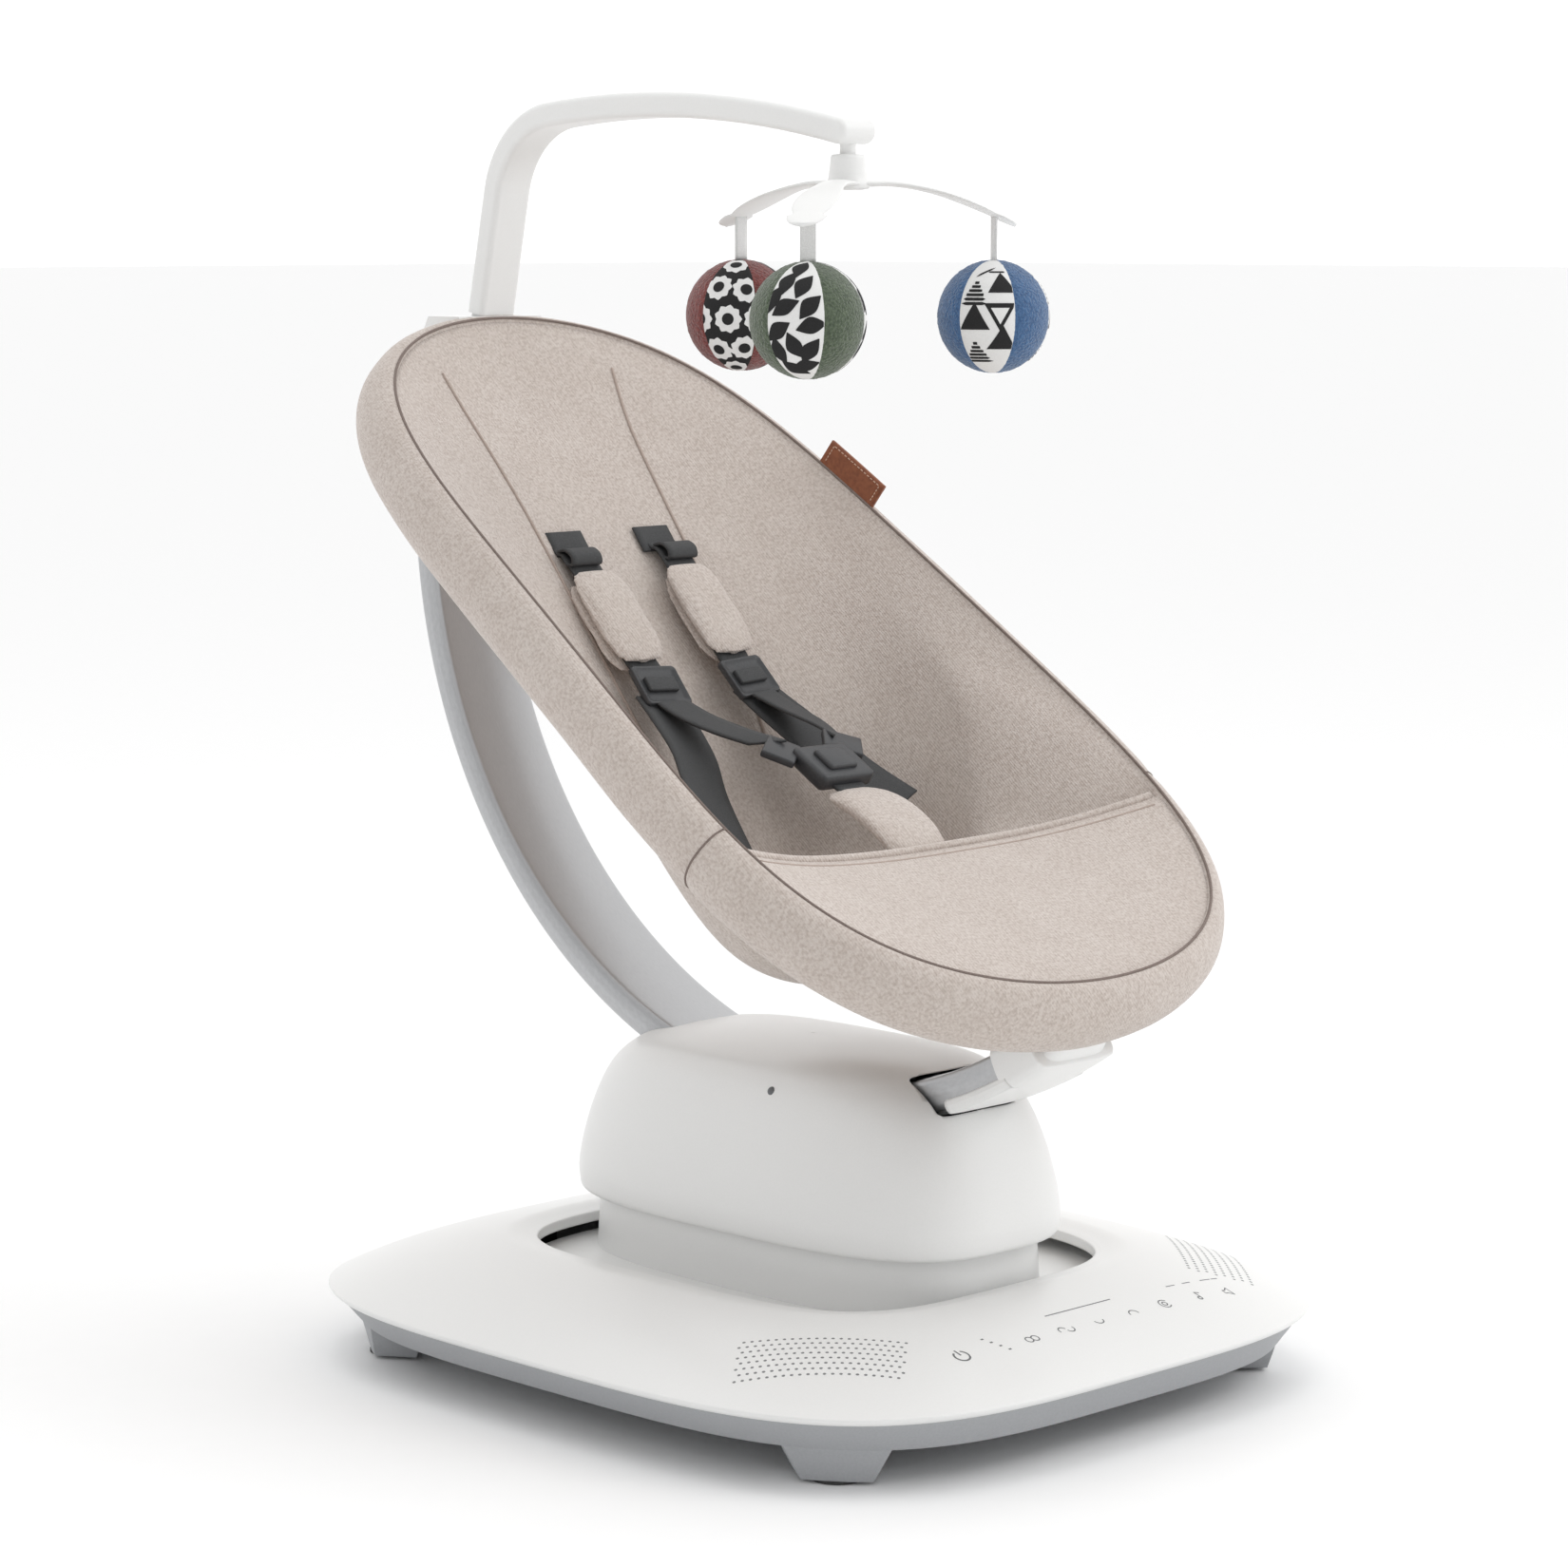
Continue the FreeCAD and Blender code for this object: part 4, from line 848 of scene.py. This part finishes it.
def puff(piece, place):  # blows the pad up a little as closed cloth
    for vert in piece.data.vertices:
        vert.co = place @ ((place.inverted() @ vert.co) * puffing["start"])
    addModifier(piece, "REMESH", mode="VOXEL", voxel_size=puffing["voxel"], use_smooth_shade=True)
    applyModifiers(piece)
    before = [vert.co.copy() for vert in piece.data.vertices]
    cloth = addModifier(piece, "CLOTH")
    cloth.settings.quality = 6
    cloth.settings.mass = 0.2
    cloth.settings.tension_stiffness = 30
    cloth.settings.compression_stiffness = 30
    cloth.settings.shear_stiffness = 20
    cloth.settings.bending_stiffness = 0.3
    cloth.settings.use_pressure = True
    cloth.settings.uniform_pressure_force = puffing["pressure"]
    cloth.settings.effector_weights.gravity = 0
    cloth.point_cache.frame_start = 1
    cloth.point_cache.frame_end = puffing["frames"]
    for step in range(1, puffing["frames"] + 1):
        scene.frame_set(step)
    applyModifiers(piece)
    for vert, start in zip(piece.data.vertices, before):
        move = vert.co - start
        if move.length > puffing["cap"]:
            vert.co = start + move.normalized() * puffing["cap"]
    scene.frame_set(1)
    addModifier(piece, "SUBSURF", levels=1, render_levels=1)
    applyModifiers(piece)


def pillow(name, place, halfX, halfY, thick, bend, body, replaced=()):
    def shape(u, v):
        angle = u * tau
        ring = math.sin(min(v, 1 - v) * math.pi)
        ring = ring ** 0.35
        side = 1 if v > 0.5 else -1
        x, y = ovalPoint(angle, halfX, halfY, 5.0)
        x, y = x * ring, y * ring
        crown = (1 - min(1, (abs(x / halfX) ** 3 + abs(y / halfY) ** 3)) ** 1.2) ** 0.5
        z = side * thick / 2 * (0.25 + 0.75 * crown) * (1 if ring < 0.999 else 0)
        return Vector((x, y, z + bend * (y / halfY) ** 2)) / 1000
    bm = wrapGrid(72, 32, shape)
    bmesh.ops.transform(bm, matrix=place, verts=bm.verts)
    piece = finishMesh(name, bm, knit, body, replaced)
    puff(piece, place)
    return piece


pads = {"shoulder": (40, 93, -61), "shoulderHalf": (23, 38, 8), "back": (41.5, 92, -68.5), "backHalf": (23, 37, 6),
        "pitch": 13, "crotch": (0, -136, -39), "crotchHalf": (27, 38, 12), "crotchPitch": -8, "crotchBend": -5}
for side, label in ((-1, "Left"), (1, "Right")):
    x, s, n = pads["shoulder"]
    pillow("shoulderPad" + label, seatMatrix(side * x, s, n, pads["pitch"]), *pads["shoulderHalf"], 0, "seat",
           ("shoulder_pads",) if side == -1 else ())
    x, s, n = pads["back"]
    pillow("shoulderPadBack" + label, seatMatrix(side * x, s, n, pads["pitch"]), *pads["backHalf"], 0, "seat")
pillow("crotchPad", seatMatrix(*pads["crotch"], pads["crotchPitch"]), *pads["crotchHalf"], pads["crotchBend"], "seat",
       ("crotch_pad",))
print("harness done")


# mobile

mobile = {"y": -28, "ballRadius": 34.5, "ballZ": 654, "ringRadius": 93, "ribbonTop": 714.6}
leafPath = [(8, 0, 734.5), (30, 0, 734.5), (55, 0, 730), (80, 0, 721.5), (107, 0, 709.5)]
leafHalf = [(10, 0, 0), (8.5, 0, 0), (9.5, 0, 0), (13, 0, 0), (12, 0, 0), (0.3, 0, 0)]
bm = bmesh.new()
for degrees in (90, 210, 330):
    turn = Matrix.Translation(at(0, mobile["y"], 0)) @ Matrix.Rotation(math.radians(degrees), 4, "Z")

    def leafPoint(u, v):
        here = smoothPoint(leafPath, v)
        ahead = smoothPoint(leafPath, min(v + 0.01, 1)) - smoothPoint(leafPath, max(v - 0.01, 0))
        up = Vector((-ahead.z, 0, ahead.x)).normalized()
        half = smoothPoint(leafHalf, v).x
        if v > 0.86:
            half = 12.4 * math.sqrt(max(1 - ((v - 0.86) / 0.14) ** 2, 0.0004))
        a = u * tau
        thick = 2.2 - 0.9 * v
        place = here + Vector((0, 1, 0)) * half * math.cos(a) + up * thick * math.sin(a)
        return turn @ (place / 1000)
    leaf = wrapGrid(24, 48, leafPoint, cap=True)
    mergeInto(bm, leaf)
hubProfile = [(0.01, 0, 763), (5, 0, 763), (5, 0, 752.4), (9.6, 0, 752), (10.6, 0, 750.5), (11, 0, 745), (12, 0, 738),
              (13.5, 0, 734), (13, 0, 731.5), (8, 0, 730.6), (0.01, 0, 730.6)]


def spinPoint(profile, smooth=False):
    def point(u, v):
        count = len(profile) - 1
        i = min(int(v * count), count - 1)
        here = Vector(profile[i]).lerp(Vector(profile[i + 1]), v * count - i)
        return at(here.x * math.cos(u * tau), mobile["y"] + here.x * math.sin(u * tau), here.z)
    return point


hub = wrapGrid(48, (len(hubProfile) - 1) * 3, spinPoint(hubProfile))
mergeInto(bm, hub)
mobileHub = finishMesh("mobileHub", bm, whiteShell, "hub", ("mobile_hub",))


def ballPoint(centre, lon, lat, lift=0.0):
    r = (mobile["ballRadius"] + lift) / 1000
    return centre + Vector((math.cos(lat) * math.cos(lon), math.cos(lat) * math.sin(lon), math.sin(lat))) * r


def patch(bm, centre, lon, lat, outline, turn=0.0, lift=0.2, limit=None):  # a flat print laid on the ball
    def point(u, v):
        a, b = outline(u * tau)
        a, b = a * v, b * v
        x = a * math.cos(turn) - b * math.sin(turn)
        y = a * math.sin(turn) + b * math.cos(turn)
        latitude = lat + y / mobile["ballRadius"]
        longitude = lon + x / (mobile["ballRadius"] * max(math.cos(latitude), 0.15))
        if limit:
            longitude = min(max(longitude, limit[0]), limit[1])
        return ballPoint(centre, longitude, latitude, lift)
    mergeInto(bm, wrapGrid(36, 5, point))


def flower(radius):
    def outline(a):
        r = radius * (1 + 0.09 * math.cos(9 * a))
        return r * math.cos(a), r * math.sin(a)
    return outline


def disc(radius):
    def outline(a):
        return radius * math.cos(a), radius * math.sin(a)
    return outline


def leafOutline(length, width):
    def outline(a):
        c, s = math.cos(a), math.sin(a)
        return length * c, width * s * (1 - 0.75 * abs(c) ** 1.6) * (1.3 if s > 0 else 0.9)
    return outline


def triangle(size):
    def outline(a):
        sector = ((a + math.pi / 2) % (tau / 3)) - tau / 6
        r = size * 0.5 / math.cos(sector)
        return r * math.cos(a), r * math.sin(a)
    return outline


def bar(halfLength, halfHeight):
    def outline(a):
        c, s = math.cos(a), math.sin(a)
        k = min(halfLength / max(abs(c), 1e-6), halfHeight / max(abs(s), 1e-6))
        return c * k, s * k
    return outline


prints = {
    "flowers": ((-14, 31), (20, 28), (0, -3), (-32, -3), (31, -3), (-16, -37), (18, -35), (2, 64), (0, -68)),
    "leaves": ((-13, 40, 75), (9, 36, 60), (-10, 13, 28), (16, 14, 48), (17, -5, 12), (-17, -10, 35), (0, -24, 118),
               (-20, -30, 100), (17, -30, 60), (10, -50, 25), (-6, -52, 140), (0, 62, 80), (-24, 22, 70)),
    "triangles": ((17, 34, 9.2, 60), (-13, -3, 10.2, 60), (17, -25, 9.6, 60), (14, 5, 10.4, 0)),
    "stacks": (14, -50),
}
balls = (("red", 90, terryRed, printBlack, printWhite, 212), ("green", 210, terryGreen, printWhite, printBlack, 211.5),
         ("blue", 330, terryBlue, printWhite, printBlack, 215.5))
for name, degrees, terry, ground, motif, facing in balls:
    a = math.radians(degrees)
    centre = at(mobile["ringRadius"] * math.cos(a), mobile["y"] + mobile["ringRadius"] * math.sin(a), mobile["ballZ"])
    face0 = math.radians(facing)

    def spherePoint(u, v):
        lon = face0 - math.radians(30) + u * tau
        lat = (v - 0.5) * math.pi
        gore = int(u * 6 + 1e-6) % 6
        within = (u * 6) % 1
        seam = 0.5 * math.exp(-(min(within, 1 - within) * 22) ** 2) * math.cos(lat)
        fuzz = 0.0
        if gore % 2 == 1:
            outward = Vector((math.cos(lat) * math.cos(lon), math.cos(lat) * math.sin(lon), math.sin(lat)))
            fuzz = 0.45 * noise.noise(outward * 26)
        return ballPoint(centre, lon, lat, fuzz - seam)
    bm = wrapGrid(144, 72, spherePoint)
    for face in bm.faces:
        middle = face.calc_center_median() - centre
        u = ((math.atan2(middle.y, middle.x) - face0 + math.radians(30)) % tau) / tau
        face.material_index = int(u * 6) % 2 == 0
    title = name[0].upper() + name[1:]
    ball = finishMesh("ball" + title, bm, [terry, ground], name, ("ball_" + name,))
    dark = bmesh.new()
    light = bmesh.new()
    for gore in (0, 2, 4):
        mid = face0 + math.radians(60 * gore)
        limit = (mid - math.radians(29), mid + math.radians(29))

        def lay(layer, dx, dLat, outline, turn=0.0, lift=0.2):
            patch(layer, centre, mid + math.radians(dx), math.radians(dLat), outline, turn, lift, limit)
        if name == "red":
            for dx, lat in prints["flowers"]:
                lay(dark, dx, lat, flower(8.2), lift=0.18)
                lay(light, dx, lat, disc(3.7), lift=0.34)
        elif name == "green":
            for dx, lat, turn in prints["leaves"]:
                lay(dark, dx, lat, leafOutline(9.4, 4.6), math.radians(turn))
        else:
            for dx, lat, size, turn in prints["triangles"]:
                lay(dark, dx, lat, triangle(size * 1.1), math.radians(turn), 0.18)
            lay(light, 14, 4.2, triangle(6.6), lift=0.34)
            for lat in prints["stacks"]:
                for i in range(6):
                    lay(dark, -14, lat + i * 4.6, bar(8.6 - i * 1.45, 0.95))
            lay(dark, -6, 52, bar(7, 0.7), 0.7)
            lay(dark, 12, 52, bar(5, 0.7))
    finishMesh("ball" + title + "Motif", dark, motif, name)
    if len(light.verts):
        finishMesh("ball" + title + "MotifTop", light, ground, name)
    else:
        light.free()
    turn = Matrix.Rotation(a, 3, "Z")

    def ribbonPoint(u, v):
        side = turn @ Vector((0, (u - 0.5) * 9.5, 0)) / 1000
        ballTop = mobile["ballZ"] + mobile["ballRadius"]
        height = ballTop - 0.6 + v * (mobile["ribbonTop"] - ballTop + 2)
        return Vector((centre.x + side.x, centre.y + side.y, height / 1000))
    flatSheet("ribbon" + title, 4, 10, ribbonPoint, 0.0013, ribbonWhite, name, ("ribbon_" + name,))
print("mobile done")


# stage, light and camera

floorMaterial = grain("floorMaterial", (0.97, 0.97, 0.97), (0.965, 0.965, 0.965), 0.8, 40, 0.02)
bm = bmesh.new()
bmesh.ops.create_grid(bm, x_segments=2, y_segments=2, size=60)
floorMesh = bpy.data.meshes.new("floor")
bm.to_mesh(floorMesh)
bm.free()
floor = bpy.data.objects.new("floor", floorMesh)
floor.location.z = -0.0002
scene.collection.objects.link(floor)
floorMesh.materials.append(floorMaterial)

world = bpy.data.worlds.new("studio")
world.use_nodes = True
worldNodes, worldLinks = world.node_tree.nodes, world.node_tree.links
worldNodes["Background"].inputs["Color"].default_value = (1, 1, 1, 1)
direction = worldNodes.new("ShaderNodeTexCoord")
toBright = worldNodes.new("ShaderNodeVectorMath")
toBright.operation = "DOT_PRODUCT"
toBright.inputs[1].default_value = (0.86, 0.46, 0.22)
brightness = worldNodes.new("ShaderNodeMapRange")
brightness.interpolation_type = "SMOOTHSTEP"
brightness.inputs["From Min"].default_value = -0.75
brightness.inputs["From Max"].default_value = 0.72
brightness.inputs["To Min"].default_value = 0.58
brightness.inputs["To Max"].default_value = 1.22
worldLinks.new(direction.outputs["Generated"], toBright.inputs[0])
worldLinks.new(toBright.outputs["Value"], brightness.inputs["Value"])
worldLinks.new(brightness.outputs["Result"], worldNodes["Background"].inputs["Strength"])
scene.world = world

lights = (("key", (1.5, -2.0, 2.5), 1.6, 16), ("top", (-0.4, 0.3, 3.2), 2.4, 12), ("left", (-2.6, -0.6, 1.2), 2.0, 2))
for name, place, width, power in lights:
    data = bpy.data.lights.new(name, "AREA")
    data.size = width
    data.energy = power
    lamp = bpy.data.objects.new(name, data)
    lamp.location = place
    lamp.rotation_euler = (Vector((0, 0, 0.35)) - Vector(place)).to_track_quat("-Z", "Y").to_euler()
    scene.collection.objects.link(lamp)

view = {"azimuth": -44.653, "elevation": 7.379, "distance": 2730.0, "across": -19.0, "up": 361.9, "lens": 99.06}
azimuth, elevation = math.radians(view["azimuth"]), math.radians(view["elevation"])
back = Vector((math.sin(azimuth) * math.cos(elevation), -math.cos(azimuth) * math.cos(elevation), math.sin(elevation)))
right = Vector((math.cos(azimuth), math.sin(azimuth), 0))
up = back.cross(right)
cameraData = bpy.data.cameras.new("camera")
cameraData.lens = view["lens"]
cameraData.sensor_width = 36
camera = bpy.data.objects.new("camera", cameraData)
spot = right * view["across"] + up * view["up"] + back * view["distance"]
camera.location = at(*spot)
camera.rotation_euler = (math.pi / 2 - elevation, 0, azimuth)
scene.collection.objects.link(camera)
scene.camera = camera
scene.view_settings.view_transform = "Standard"

print("scene ready")
